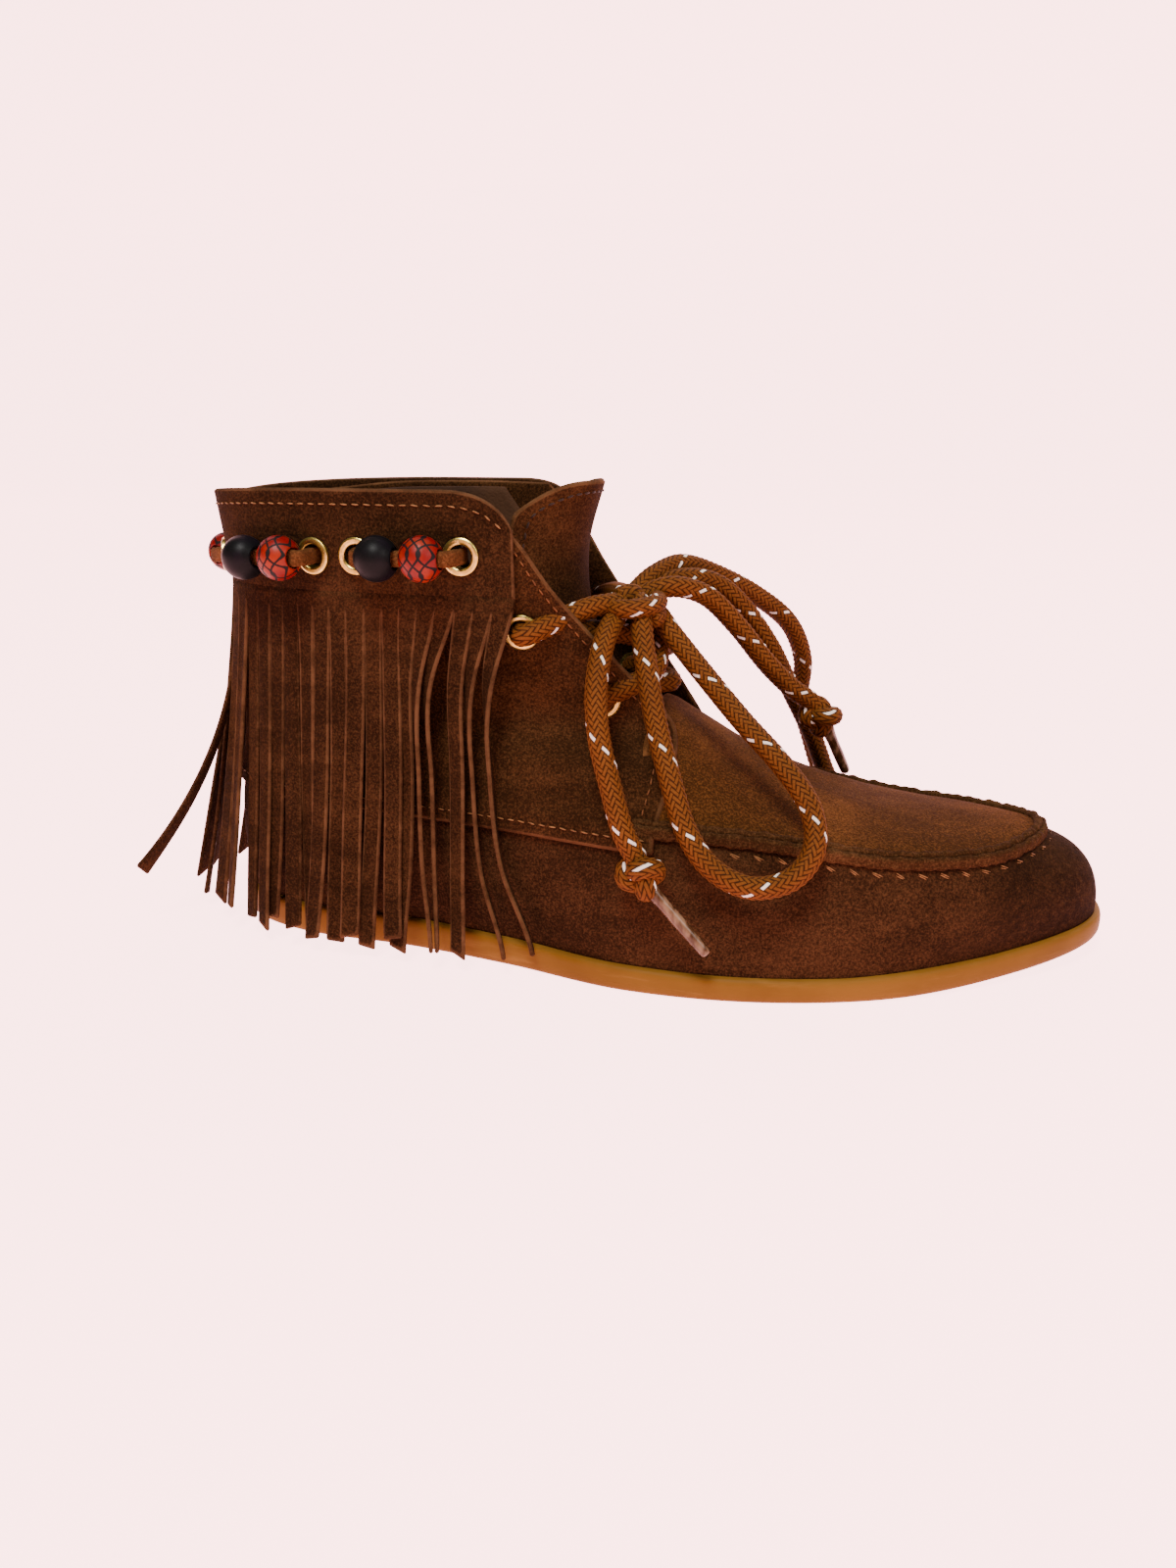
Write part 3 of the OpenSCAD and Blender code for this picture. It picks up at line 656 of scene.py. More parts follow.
# %% [markdown]
# ## The lace: braid colours, free loops and tails
# The braid is brown with one white strand. The strand runs as a helix and goes under every second strand
# it meets, so it shows as short dashes. The shader finds them from the UV map, which holds the distance
# along the lace and the share round it, with the same sums that lift the strands.


# %% Lace material
LACE_DARK, LACE_LIGHT = (0.032, 0.0098, 0.0018), (0.116, 0.0385, 0.0068)
CELL_SHIFT = 4800    # keeps the cell numbers above zero; the strands and the weave both divide it


def lace_material():
    mat, tree, shader = new_material("lace_braid", (0.12, 0.04, 0.01), Roughness=0.7,
                                     Specular_IOR_Level=0.03)
    s, w, _ = split_xyz(add_node(tree, "ShaderNodeUVMap"))
    a = (w + s / BRAID_TURN) * STRANDS + CELL_SHIFT
    b = (w - s / BRAID_TURN) * STRANDS + CELL_SHIFT
    a_cell, b_cell = a.math("FLOOR"), b.math("FLOOR")
    a_top = (a_cell + b_cell).math("MODULO", 4).math("LESS_THAN", 1.5)
    white = a_top * a_cell.math("MODULO", STRANDS).math("LESS_THAN", 0.5)
    across = a_top * a.math("FRACT") + (1 - a_top) * b.math("FRACT")
    crown = (across * math.pi).math("SINE")
    fibre = noise(tree, 2600, 2)
    brown = (fibre * 0.5 + noise(tree, 60, 2) * 0.5).mix(LACE_DARK, LACE_LIGHT)
    # Painted shade: the colour goes to near-black in the grooves between the strands and stays full on
    # their crowns.
    crevice_shade = crown.ramp(0.12, 0.9) * 0.9 + 0.1
    coloured = (white * crown.ramp(0.05, 0.5)).mix(brown, (0.46, 0.405, 0.35))
    link(tree, crevice_shade.mix((0.005, 0.0016, 0.0004), coloured), shader, "Base Color")
    bump(tree, shader, crown * 0.6 + fibre * 0.4, 0.5, 0.0003)
    return mat


LACE = lace_material()

# %% Free loops and tails of the bow
KNOT = np.array([-6.0, -12.0, 100.0])
LOOP_LATERAL = [(-2, -17, 99), (0, -24, 92), (3, -31, 82), (7, -38, 70), (12, -45, 58), (17, -50, 47),
                (24, -53, 39), (34, -54, 35), (44, -51, 37), (49, -46, 44), (47, -40, 53),
                (39, -34, 62), (28, -27, 71), (17, -20, 81), (7, -15, 91), (1, -12, 97.5)]
LOOP_MEDIAL = [(-3, -7, 101), (4, 0, 104.5), (13, 8, 103.5), (21, 14, 97), (30, 22, 83),
               (36, 30, 69), (43, 38, 53), (48, 46, 38), (51, 50.5, 32), (50, 55, 30),
               (46, 58, 35), (42, 58.5, 46), (38, 56, 60), (38.5, 50, 74), (34, 42, 87),
               (24, 31, 97), (13, 18, 104.5), (5, 8, 108), (-1, -2, 106)]
TAIL_LATERAL = [(-8, -19, 97), (-9, -30, 92), (-9, -40, 82), (-7, -46, 70), (-3, -50, 58),
                (1, -53, 47), (4, -53, 41)]
TAIL_MEDIAL = [(-1, -9, 102), (6, -7, 103.5), (14, 0, 100), (22, 6, 91), (30, 11.5, 80),
               (37, 16.5, 72), (43, 20.5, 67)]
STOPPERS = {"lateral": (6, -53.5, 35.5), "medial": (46, 22, 62)}
AGLETS = {"lateral": [(10, -54.5, 31), (24, -56, 16.5)], "medial": [(49, 24.5, 56.5), (54.6, 33.2, 42.2)]}


def frame_along(direction):
    """Three unit vectors, the last one along direction."""
    z = unit(np.asarray(direction, float))
    x = unit(np.cross([0.3, 0.9, 0.2], z))
    return np.stack([x, np.cross(z, x), z])


def stopper_knot(side):
    """An overhand knot pulled tight: a small trefoil with its axis across the lace."""
    t = np.linspace(0, 2 * np.pi, 150)
    knot = 1.38 * np.stack([np.sin(t) + 2 * np.sin(2 * t), np.cos(t) - 2 * np.cos(2 * t),
                            -1.35 * np.sin(3 * t)], -1)
    a, b = np.array(AGLETS[side], float)
    way = frame_along(b - a)
    path = np.array(STOPPERS[side], float) + knot @ np.stack([way[2], way[0], way[1]])
    part = tube_data(path, lambda s, w: 0.95 * braid_radius(s, w), LACE_SIDES)
    obj = tube_object(f"stopper_knot_{side}", [part], LACE)
    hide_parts(f"stopper_knot_{side}")
    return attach(obj, "upper")


def lathe(name, profile, at, direction, material, sides=48):
    """Turns (radius, height) pairs round an axis that starts at a point, all in millimetres."""
    way = frame_along(direction)
    turn = np.arange(sides) / sides * 2 * np.pi
    rings = np.array(profile, float)
    closed = np.allclose(rings[0], rings[-1])
    count = len(rings) - 1 if closed else len(rings)
    r, h = rings[:count, :1], rings[:count, 1:]
    local = np.stack([r * np.cos(turn), r * np.sin(turn), h + 0 * turn], -1)
    faces = grid_faces(count, sides, sides)
    if not closed:
        faces = faces[:-sides] + [tuple(range(sides))[::-1],
                                  tuple((count - 1) * sides + j for j in range(sides))]
    obj = make_object(name, (np.asarray(at) + local @ way).reshape(-1, 3), faces, material)
    shape = local / np.abs(rings).max()
    obj.data.attributes.new("turned", "FLOAT_VECTOR", "POINT").data.foreach_set("vector", shape.ravel())
    return obj


def aglet_material():
    mat, tree, shader = new_material("aglet_plastic", (0.08, 0.03, 0.013), Roughness=0.25, IOR=1.45,
                                     Transmission_Weight=0.1, Specular_IOR_Level=0.15)
    streaks = noise(tree, 420, 2, stretch=(1, 1, 0.4)).ramp(0.4, 0.7)
    link(tree, streaks.mix((0.034, 0.0145, 0.0055), (0.125, 0.072, 0.040)), shader, "Base Color")
    bump(tree, shader, noise(tree, 700, 2, stretch=(1, 1, 0.3)), 0.25, 0.0003)
    return mat


AGLET = aglet_material()


def aglet(side):
    a, b = np.array(AGLETS[side], float)
    long = float(np.linalg.norm(b - a))
    profile = [(0.8, -3), (1.9, -2.8), (2.1, -2), (1.8, 0.5), (1.6, 4), (1.65, long / 2),
               (1.5, long - 2), (1.4, long - 0.6), (1.1, long - 0.1), (0.6, long)]
    obj = lathe(f"aglet_{side}", profile, a, b - a, AGLET, sides=28)
    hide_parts(f"aglet_{side}")
    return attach(obj, "upper")


def free_lace(node, points, pieces=()):
    path = resampled(points, LACE_STEP)
    obj = tube_object(node, [tube_data(path, braid_radius, LACE_SIDES)], LACE)
    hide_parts(node)
    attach(obj, "upper")


free_lace("bow_loop_lateral", [(-4, -13, 100.5)] + LOOP_LATERAL + [(-4, -11, 99.5)])
free_lace("bow_loop_medial", [(-5, -10, 99)] + LOOP_MEDIAL + [(-5, -9, 102)])
free_lace("lace_tail_lateral", [(-6, -13, 100)] + TAIL_LATERAL + [(5.5, -53.3, 37.5)],
          [stopper_knot("lateral"), aglet("lateral")])
free_lace("lace_tail_medial", [(-5, -11, 100)] + TAIL_MEDIAL + [(45, 21.5, 64)],
          [stopper_knot("medial"), aglet("medial")])

# %% [markdown]
# ## The sole
# The outsole is one moulded piece of gum rubber. Its rings start at the middle of the tread, run out to
# the edge, up the rounded side and back over the top, so the whole piece is one closed skin.


# %% Sole materials and pieces
def gum_material():
    mat, tree, shader = new_material("gum_rubber", (0.09, 0.04, 0.006), Roughness=0.6,
                                     Specular_IOR_Level=0.03)
    cloud = noise(tree, 22, 4, 0.6)
    scuff = noise(tree, 160, 4, 0.65, stretch=(0.25, 0.25, 2.2)).ramp(0.56, 0.78)
    base = cloud.ramp(0.3, 0.7).mix((0.076, 0.0330, 0.0046), (0.106, 0.0485, 0.0075))
    link(tree, (scuff * 0.4).mix(base, (0.17, 0.082, 0.018)), shader, "Base Color")
    link(tree, 0.42 + cloud * 0.2, shader, "Roughness")
    bump(tree, shader, noise(tree, 500, 3) * 0.5 + scuff * 0.3, 0.25, 0.0003)
    return mat


PORES = 700          # pores per metre of smooth leather


def plain_leather(name, dark, light, rough=0.6):
    mat, tree, shader = new_material(name, dark, Roughness=rough, Specular_IOR_Level=0.12)
    pores = add_node(tree, "ShaderNodeTexVoronoi", {"feature": "DISTANCE_TO_EDGE"}, 0, Scale=PORES,
                     Vector=add_node(tree, "ShaderNodeTexCoord", out=3))
    link(tree, noise(tree, 40, 4).ramp(0.3, 0.7).mix(dark, light), shader, "Base Color")
    bump(tree, shader, pores.ramp(0, 0.2), 0.3, 0.0003)
    return mat


SOLE_COLS = 220      # points round the sole
EVEN_INSET = 14      # further in than this, the rings close up on the middle line


def sole_rings(name, rings, material):
    """rings: (inset, height function of x) from the middle of the underside round to the top."""
    count = SOLE_COLS
    k = np.arange(count) / count * PLAN_N
    rows = []
    for inset, height in rings:
        p = plan_pt(k, min(inset, EVEN_INSET))
        if inset > EVEN_INSET:
            shrink = (inset - EVEN_INSET) / 100
            spine = np.stack([np.clip(p[:, 0], -108, 100), 0.045 * p[:, 0] + 2 * (p[:, 0] > 60)], -1)
            p = blend_between(p, spine, shrink)
        rows.append(np.concatenate([p, height(p[:, 0])[:, None]], -1))
    n = len(rows)
    faces = [(i * count + j, i * count + (j + 1) % count, (i + 1) * count + (j + 1) % count,
              (i + 1) * count + j) for i in range(n - 1) for j in range(count)]
    faces += [tuple(range(count)), tuple((n - 1) * count + j for j in reversed(range(count)))]
    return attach(make_object(name, np.concatenate(rows), faces, material), "upper")


GUM = gum_material()
low, high = spring_z, sole_top_z


def side_height(share, lift=0.0):
    return lambda x: low(x) * (1 - share) + high(x) * share + lift


outsole_rings = [(104, low), (75, low), (45, low), (14, low), (3, low), (1.2, side_height(0, 0.15)),
                 (0.5, side_height(0, 0.6)), (0.15, side_height(0, 1.4)), (0.05, side_height(0.4)),
                 (0.1, side_height(0.7)), (0.3, side_height(1, -1.2)), (0.7, side_height(1, -0.45)),
                 (1.4, side_height(1, -0.1)), (3, high), (14, high), (45, high), (75, high), (104, high)]
outsole = sole_rings("outsole_gum", outsole_rings, GUM)
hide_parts("outsole")
FOOTBED = plain_leather("footbed_leather", (0.085, 0.036, 0.011), (0.14, 0.064, 0.022))
footbed_rings = [(inset, side_height(1, lift)) for inset, lift in (
    (104, 1.7), (40, 1.7), (8.2, 1.7), (7.6, 2.6), (7.7, 4.0), (8.6, 4.7), (14, 4.75), (45, 4.75),
    (104, 4.75))]
footbed = sole_rings("footbed_cover", footbed_rings, FOOTBED)
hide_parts("footbed")
print("sole and footbed ready")

# %% [markdown]
# ## The upper
# The wall stands on the sole. The apron closes the top of the foot and its seam stands up as a puckered
# ridge. Two quarters wrap the ankle and lap over the wall, and the tongue rises between them.


# %% Wall and apron
wall_k, wall_v = np.arange(240) / 12, np.linspace(-0.01, 0.995, 26)
V, K = mesh_grid(wall_v, wall_k)
wall_grid = roughen(wall_pt(K, V), 0.28, 34, 3, ring=True)
wall = leather("vamp_wall_suede", wall_grid, SUEDE_T, SUEDE_WALL, "upper", ring=True)
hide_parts("vamp_wall")

apron_m = 0.1 + 4.85 * np.linspace(0, 1, 80) ** 1.25
apron_w = 0.5 - 0.5 * np.cos(np.pi * np.linspace(0, 1, 64))
M, W = mesh_grid(apron_m, apron_w)
apron_grid = roughen(plug_pt(M, W), 0.35, 30, 5)
apron = leather("toe_plug_suede", apron_grid, SUEDE_T, SUEDE_PLUG, "upper")
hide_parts("toe_plug")

# %% The raised seam
PUCKER = 6.2         # distance between the hand stitches
RIDGE_STEP = 0.5
SEAM_FROM, SEAM_TO = QUARTER_K - 0.15, PLAN_N - QUARTER_K + 0.15


def seam_line(inward, lift):
    """The seam round the toe, moved inward and up, with even steps."""
    k = np.linspace(SEAM_FROM, SEAM_TO, 900)
    p = seam_pt(k)
    t = unit(seam_pt(k + 0.05) - seam_pt(k - 0.05))
    inside = unit(np.stack([-t[:, 1], t[:, 0], 0 * k], -1))
    p = p + inside * inward + np.array([0, 0, lift])
    run = distances(p)
    want = np.arange(0, run[-1], RIDGE_STEP)
    return np.stack([np.interp(want, run, p[:, i]) for i in range(3)], -1)


def pucker_radius(size, tall, phase):
    def radius(s, w):
        pinch = 0.5 + 0.5 * np.cos(2 * np.pi * (s / PUCKER + phase))
        rough = 0.06 * np.sin(s * 1.9 + 5 * w) + 0.05 * np.sin(s * 0.7 + 2)
        stand = 1 + (tall - 1) * np.cos(2 * np.pi * w) ** 2
        return size * stand * (1 - 0.13 * pinch + rough)
    return radius


ridge_in = tube_data(seam_line(1.0, 2.1), pucker_radius(1.15, 1.9, 0.0), 18, start=(0, 0, 1))
ridge_out = tube_data(seam_line(-0.65, 1.2), pucker_radius(1.05, 1.85, 0.12), 18, start=(0, 0, 1))
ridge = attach(tube_object("moc_ridge", [ridge_in], SUEDE_LIP), "upper")
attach(tube_object("moc_ridge_wall_side", [ridge_out], SUEDE_LIP), "upper")
print("ridge:", len(ridge.data.polygons), "faces")


# %% Quarters and lining
def push_out(g, amount):
    return g + grid_normals(g) * amount[..., None]


def quarter_sheet(side, rows, cols, low_v=-0.075, lift=None):
    """A quarter's outer face: its foot follows the wall a little below the seam and lies on it."""
    v, u = mesh_grid(np.linspace(low_v, 1, rows), np.linspace(0, 1, cols))
    k = QUARTER_K * u if side < 0 else PLAN_N - QUARTER_K * u
    on_wall = wall_pt(k, 1 + v * 1.5)
    g = np.where((v < 0)[..., None], on_wall, quarter_pt(u, np.maximum(v, 0), side))
    if side > 0:
        g = g[:, ::-1]
        v = v[:, ::-1]
    return push_out(g, (0.35 + 1.35 * (1 - smooth(v, -0.02, 0.10))) if lift is None else lift + 0 * v)


def cut_holes(obj, sites, radius):
    """Punches round holes through a sheet; sites are (point, direction) in millimetres."""
    rings = [(radius, -9), (radius, 9)]
    cutters = [lathe("punch", rings, p, d, obj.data.materials[0], sides=28) for p, d in sites]
    for cutter in cutters:
        mod = obj.modifiers.new("hole", "BOOLEAN")
        mod.operation, mod.solver, mod.object = "DIFFERENCE", "EXACT", cutter
    made = bpy.data.meshes.new_from_object(obj.evaluated_get(bpy.context.evaluated_depsgraph_get()))
    obj.modifiers.clear()
    obj.data = made
    for cutter in cutters:
        bpy.data.objects.remove(cutter)
    return obj


def eyelet_site(side, level):
    """Middle and outward direction of a lace eyelet: level 0 is the lower one and 1 the upper."""
    u, v = (0.885, 0.585) if level else (0.925, 0.36)

    def point(du, dv):
        return quarter_pt(np.array(u + du), np.array(v + dv), side)

    n = unit(np.cross(point(0.01, 0) - point(-0.01, 0), point(0, 0.01) - point(0, -0.01)))
    return point(0, 0), -side * n


def eyelet_pt(c):
    """The line of the collar eyelets and beads, which dips towards the heel."""
    c = np.asarray(c, float)
    return collar_pt(c, (EYELET_Z - EYELET_DIP * (1 - np.abs(c)) ** 1.7 - COLLAR_FOOT) / BAND_H)


EYELET_C = [0.89, 0.70, 0.605, 0.385, 0.17, -0.24, -0.345, -0.60, -0.70, -0.905]
BEAD_C = [0.843, 0.763, 0.56, 0.465, -0.03, -0.156, -0.42, -0.515, -0.763, -0.845]
EYELET_Z, EYELET_DIP, HOLE_R = 113.8, 5.2, 4.05
collar_sites = [(eyelet_pt(c), collar_out(np.array(c))) for c in EYELET_C]

for side, node in ((-1, "quarter_lateral"), (1, "quarter_medial")):
    sheet = roughen(quarter_sheet(side, 84, 120), 0.35, 38, 11 + side)
    sites = [eyelet_site(side, 0), eyelet_site(side, 1)]
    near = [s for s in collar_sites if s[0][1] * side > 0]
    quarter = leather(node + "_suede", sheet, SUEDE_T, SUEDE_QUARTER, None)
    quarter = cut_holes(quarter, sites + near, HOLE_R - 0.5)
    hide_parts(node)
    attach(quarter, "upper")

LINING = plain_leather("lining_leather", (0.013, 0.0048, 0.0016), (0.028, 0.0108, 0.0038), rough=0.85)
inner = quarter_sheet(1, 40, 60, low_v=0.04, lift=0)[:, 8:-1]
outer = quarter_sheet(-1, 40, 60, low_v=0.04, lift=0)[:, :-8]
lining_grid = np.concatenate([inner, outer], 1)[:-1]
lining = leather("ankle_lining_leather", lining_grid, 0.8, LINING, "upper", inset=SUEDE_T + 0.8)
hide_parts("ankle_lining")


# %% Tongue
TONGUE_LINE = [(18, 0, 57.6), (7, 0, 62.6), (-5, 0, 71.5), (-15, 0, 84), (-20.5, 0, 98), (-21, 0, 114),
               (-16.5, 0, 131)]


def tongue_pt(s, w):
    """s runs up the tongue and w across it; the sides fall back round the ankle."""
    p = open_pt(TONGUE_LINE, s)
    tilt = np.radians(np.interp(6 * s, range(7), [62, 60, 48, 28, 8, -8, -14]))
    half = np.interp(s, [0, 0.3, 0.5, 0.75, 1], [15, 19, 20, 24, 22])
    x = 2 * w - 1
    drop = np.interp(s, [0, 0.3, 0.7, 1], [7, 15, 17, 16]) * np.abs(x) ** 2.3
    return p + np.stack([-drop * np.cos(tilt), half * x, -drop * np.sin(tilt) - 1.5 * s * s * x * x], -1)


S, W = mesh_grid(np.linspace(0, 1, 90), np.linspace(0, 1, 60))
top_corner = 1 - 0.10 * np.abs(2 * W - 1) ** 3.5
tongue_grid = roughen(tongue_pt(S * top_corner, W), 0.5, 34, 21)
tongue = leather("tongue_suede", tongue_grid, SUEDE_T, SUEDE_QUARTER, "tongue")
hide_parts("tongue")
tongue_edge = push_out(tongue_grid, 0.15 + 0 * S)
print("upper ready")

# %% [markdown]
# ## The fringed collar
# One strip of suede goes round the ankle. Its top is left whole and holds the eyelets; below, it is
# slit into strips about 4.5 mm wide that hang nearly to the floor. Suede remembers how it was packed,
# so every strip gets its own small bend, twist and length.

# %% Collar band
FRONT_C = 0.985
H, C = mesh_grid(np.linspace(0, 1, 34), np.linspace(-FRONT_C, FRONT_C, 260))
band_grid = push_out(collar_pt(C, H * band_top(C)), 0.15 + 0 * C)
band = leather("fringe_collar_suede", band_grid, FRINGE_T, SUEDE_FRINGE, None, plain_foot=True)
band = cut_holes(band, collar_sites, HOLE_R - 0.4)
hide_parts("fringe_collar")
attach(band, "upper")

# %% Fringe strips
STRIP_PITCH, STRIP_W, GROUPS = 5.2, 4.7, 12
foot_c = np.linspace(-FRONT_C, FRONT_C, 400)
foot_line = collar_pt(foot_c, 0 * foot_c)
foot_run = distances(foot_line)
STRIPS = int(foot_run[-1] / STRIP_PITCH)
STRAY = round(STRIPS * 0.56)
rng = np.random.default_rng(12)
tip_height = rng.uniform(0, 5, STRIPS)
lean = rng.uniform(-3.2, 3.2, STRIPS)
twist = rng.normal(0, 11, STRIPS)
sway = rng.uniform(0, 2 * np.pi, STRIPS)
narrow = rng.uniform(0.86, 1.0, STRIPS)
edge_pale = rng.uniform(0.55, 1.05, STRIPS)
# The strips nearest the outer front, counted from it: sideways drift in the middle, at the tip, and twist
FRONT_STRIPS = [(-4.6, 9.0, 78), (-4.9, 5.4, 74), (-3.2, -1.8, 24), (-6.0, -3.2, 72), (-3.9, 1.0, 68),
                (-2.0, -4.0, 8)]
edge_pale[-len(FRONT_STRIPS):] = 1.1
# How far the tips stand out from the roots, what the heel adds, and what the one stray strip adds
FLARE, HEEL_FLARE, STRAY_FLARE = 10.3, 10.2, 17.0

def strip_grid(i):
    """One strip, from its slit root under the band to its tip."""
    t = np.linspace(0, 1, 50)
    c = np.array(np.interp((i + 0.5) * foot_run[-1] / STRIPS, foot_run, foot_c))
    out = collar_out(c)
    along = np.array([-out[1], out[0], 0])
    root = collar_pt(c, 0 * c) + 0.17 * out + [0, 0, 0.4]
    stray = i == STRAY
    heel = np.exp(-(c / 0.28) ** 2)
    tip = 4 + tip_height[i] + 9 * stray
    flare = FLARE + HEEL_FLARE * heel + (0.9 if i % 2 else -0.9) + STRAY_FLARE * stray
    bend = flare * t ** (2.2 if stray else 1.25)
    wave = 0.5 * np.sin(2 * np.pi * 1.2 * t + sway[i]) * t
    from_front = STRIPS - 1 - i
    if from_front < len(FRONT_STRIPS):
        middle, end, turned = FRONT_STRIPS[from_front]
        side = open_pt([[0, 0], [middle, 0], [middle * 0.8, 0], [0.55 * middle + 0.25 * end, 0],
                        [end, 0]], t)[:, 0]
        angle = np.radians(turned) * smooth(t, 0.02, 0.42)
    else:
        side = lean[i] * t * t * (1 - stray) + wave
        angle = np.radians(twist[i] * t + 40 * stray * t)
    path = (root + np.outer(t, [0, 0, tip - root[2]]) + np.outer(bend + wave * 0.5, out)
            + np.outer(side, along))
    down = unit(np.gradient(path, axis=0))
    flat = unit(along - down * (down @ along)[:, None])
    face = np.cross(down, flat)
    face = face * np.sign(face @ out)[:, None]
    wide = flat * np.cos(angle)[:, None] + face * np.sin(angle)[:, None]
    lift = face * np.cos(angle)[:, None] - flat * np.sin(angle)[:, None]
    x = np.linspace(-1, 1, 7)
    half = blend_between(STRIP_PITCH / 2 + 0.02, STRIP_W / 2 * narrow[i], smooth(t, 0.01, 0.2))
    half = half * (1 + 0.02 * np.sin(9 * t + sway[i]))
    cup = 0.3 * np.sin(np.pi * np.minimum(t * 1.2, 1))[:, None] * x[None] ** 2 * np.cos(sway[i])
    g = (path[:, None] + wide[:, None] * (half[:, None] * x[None])[..., None]
         + lift[:, None] * cup[..., None])
    g[..., 2] += (0.9 * np.sin(3 * sway[i]) * t ** 12)[:, None] * x[None]
    return g[::-1]


for g in range(GROUPS):
    first, last = round(STRIPS * g / GROUPS), round(STRIPS * (g + 1) / GROUPS)
    verts, faces, uvs, edges = [], [], [], []
    for i in range(first, last):
        grid = strip_grid(i)
        v, f, uv, e = leather_data(grid, FRINGE_T)
        height = np.array(v)[:, 2]
        e = np.array(e) * smooth(COLLAR_FOOT - height, 0.5, 6) * edge_pale[i]
        base = len(verts)
        verts += v
        faces += [tuple(base + n for n in q) for q in f]
        uvs += (np.array(uv) * MM + [0.01 * i, 0]).tolist()
        edges += e.tolist()
    name = f"fringe_{g + 1:02d}"
    strips = make_object(name + "_strips", verts, faces, SUEDE_FRINGE, uvs, edges)
    middle = np.interp((first + last) / 2 * foot_run[-1] / STRIPS, foot_run, foot_c)
    place = collar_pt(np.array(middle), np.array(0.0)) * MM
    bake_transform(strips)
    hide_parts(name)
print("fringe:", STRIPS, "strips in", GROUPS, "groups")

# %% [markdown]
# ## Eyelets, thong and beads
# The brass eyelets are turned parts, so the CAD shapes are used as they are and only get a finish. The
# beads are wood under thick lacquer: the red ones carry dark painted loops, the black ones are plain.


# %% Brass, lacquer and thong
def finish_cad(node, material):
    """Gives a CAD part its material; its shape stays as it is."""
    mesh = bpy.data.objects[node].data
    mesh.materials.clear()
    mesh.materials.append(material)


def brass_material():
    mat, tree, shader = new_material("eyelet_brass", (0.50, 0.33, 0.08), Metallic=1.0, Roughness=0.28)
    # Painted highlight: the lighter brass colour is the colour of the eyelets' highlights, laid on in soft
    # random patches that are also a little smoother.
    highlight_patches = noise(tree, 380, 4, 0.7).ramp(0.35, 0.7)
    link(tree, highlight_patches.mix((0.33, 0.228, 0.045), (0.53, 0.395, 0.12)), shader, "Base Color")
    link(tree, 0.38 - highlight_patches * 0.16, shader, "Roughness")
    bump(tree, shader, noise(tree, 1500, 2), 0.15, 0.0002)
    return mat


def bead_material(name, base, deep, painted, gloss):
    """Lacquer over wood; the red beads carry rows of painted loops that cross like a plait."""
    mat, tree, shader = new_material(name, base, Roughness=0.4, Specular_IOR_Level=gloss)
    x, y, h = split_xyz(add_node(tree, "ShaderNodeAttribute", {"attribute_name": "turned"}, 1))
    worn = noise(tree, 700, 3)
    warm = (base[0] * 1.5, base[1] * (1 + 9 * painted), base[2] * 1.5)
    wave = (y.math("ARCTAN2", x) * 3).math("COSINE") * 0.3
    line = None
    for row in (-0.5, 0.0, 0.5):
        for sign in (-1, 1):
            near = (h - row + wave * sign).math("ABSOLUTE")
            line = near if line is None else line.math("MINIMUM", near)
    paint = (1 - (line + (worn - 0.5) * 0.05).ramp(0.045, 0.075)) * painted
    tone = noise(tree, 120, 3).ramp(0.45, 0.68).mix(base, warm)
    link(tree, paint.mix(tone, deep), shader, "Base Color")
    link(tree, 0.36 + worn * 0.15 + paint * 0.2, shader, "Roughness")
    bump(tree, shader, worn * 0.4 + paint * 0.2, 0.3, 0.0003)
    return mat


BRASS = brass_material()
BEAD_RED = bead_material("bead_red", (0.085, 0.0008, 0.0003), (0.0012, 0.0005, 0.0004), 1.0, 0.12)
BEAD_BLACK = bead_material("bead_black", (0.0022, 0.0023, 0.0024), (0.002, 0.002, 0.002), 0.0, 0.05)
finish_cad("collar_eyelets", BRASS)
for side in ("lateral", "medial"):
    for level in ("upper", "lower"):
        finish_cad(f"eyelet_{side}_{level}", BRASS)

BEAD_D, BORE_D = 12.0, 5.4
BEAD_OUT = BEAD_D / 2 + 1.4
bead_places = [eyelet_pt(c) + BEAD_OUT * collar_out(np.array(c)) for c in BEAD_C]
pair_way = [unit(bead_places[2 * i + 1] - bead_places[2 * i]) for i in range(5)]
for i, at in enumerate(bead_places):
    node = f"bead_{'red' if i % 2 == 0 else 'black'}_{i // 2 + 1}"
    arc = np.linspace(-1, 1, 25) * math.acos(BORE_D / BEAD_D * 1.04)
    profile = [(max(BEAD_D / 2 * math.cos(a), BORE_D / 2 + 0.25), BEAD_D / 2 * 0.985 * math.sin(a))
               for a in arc]
    reach = profile[-1][1]
    profile += [(BORE_D / 2, reach - 0.3), (BORE_D / 2, 0.3 - reach), profile[0]]
    bead = lathe(node + "_turned", profile, at, pair_way[i // 2], BEAD_RED if i % 2 == 0 else BEAD_BLACK)
    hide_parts(node)
    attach(bead, node)


def thong_at(c, off):
    return eyelet_pt(c) + off * collar_out(np.array(c))


thong_line = []
for i in range(5):
    a, b, u = EYELET_C[2 * i], EYELET_C[2 * i + 1], pair_way[i]
    p, q, reach = bead_places[2 * i], bead_places[2 * i + 1], BEAD_D / 2 + 0.6
    thong_line += [thong_at(a, -3.5), thong_at(a, 1.5), p - reach * u, p, q, q + reach * u,
                   thong_at(b, 1.5), thong_at(b, -3.5)]
    if i < 4:
        c = EYELET_C[2 * i + 2]
        thong_line += [thong_at(b * 0.85 + c * 0.15, -10), thong_at(b * 0.15 + c * 0.85, -10)]


THONG_STEP = 0.6


def thong_radius(s, w):
    """A flat section 4.4 by 1.4 mm with round corners."""
    ca, sa = np.abs(np.cos(2 * np.pi * w)), np.abs(np.sin(2 * np.pi * w))
    return 1 / ((ca / 2.2) ** 3.5 + (sa / 0.7) ** 3.5) ** (1 / 3.5) * (1 + 0.04 * np.sin(s * 0.9))


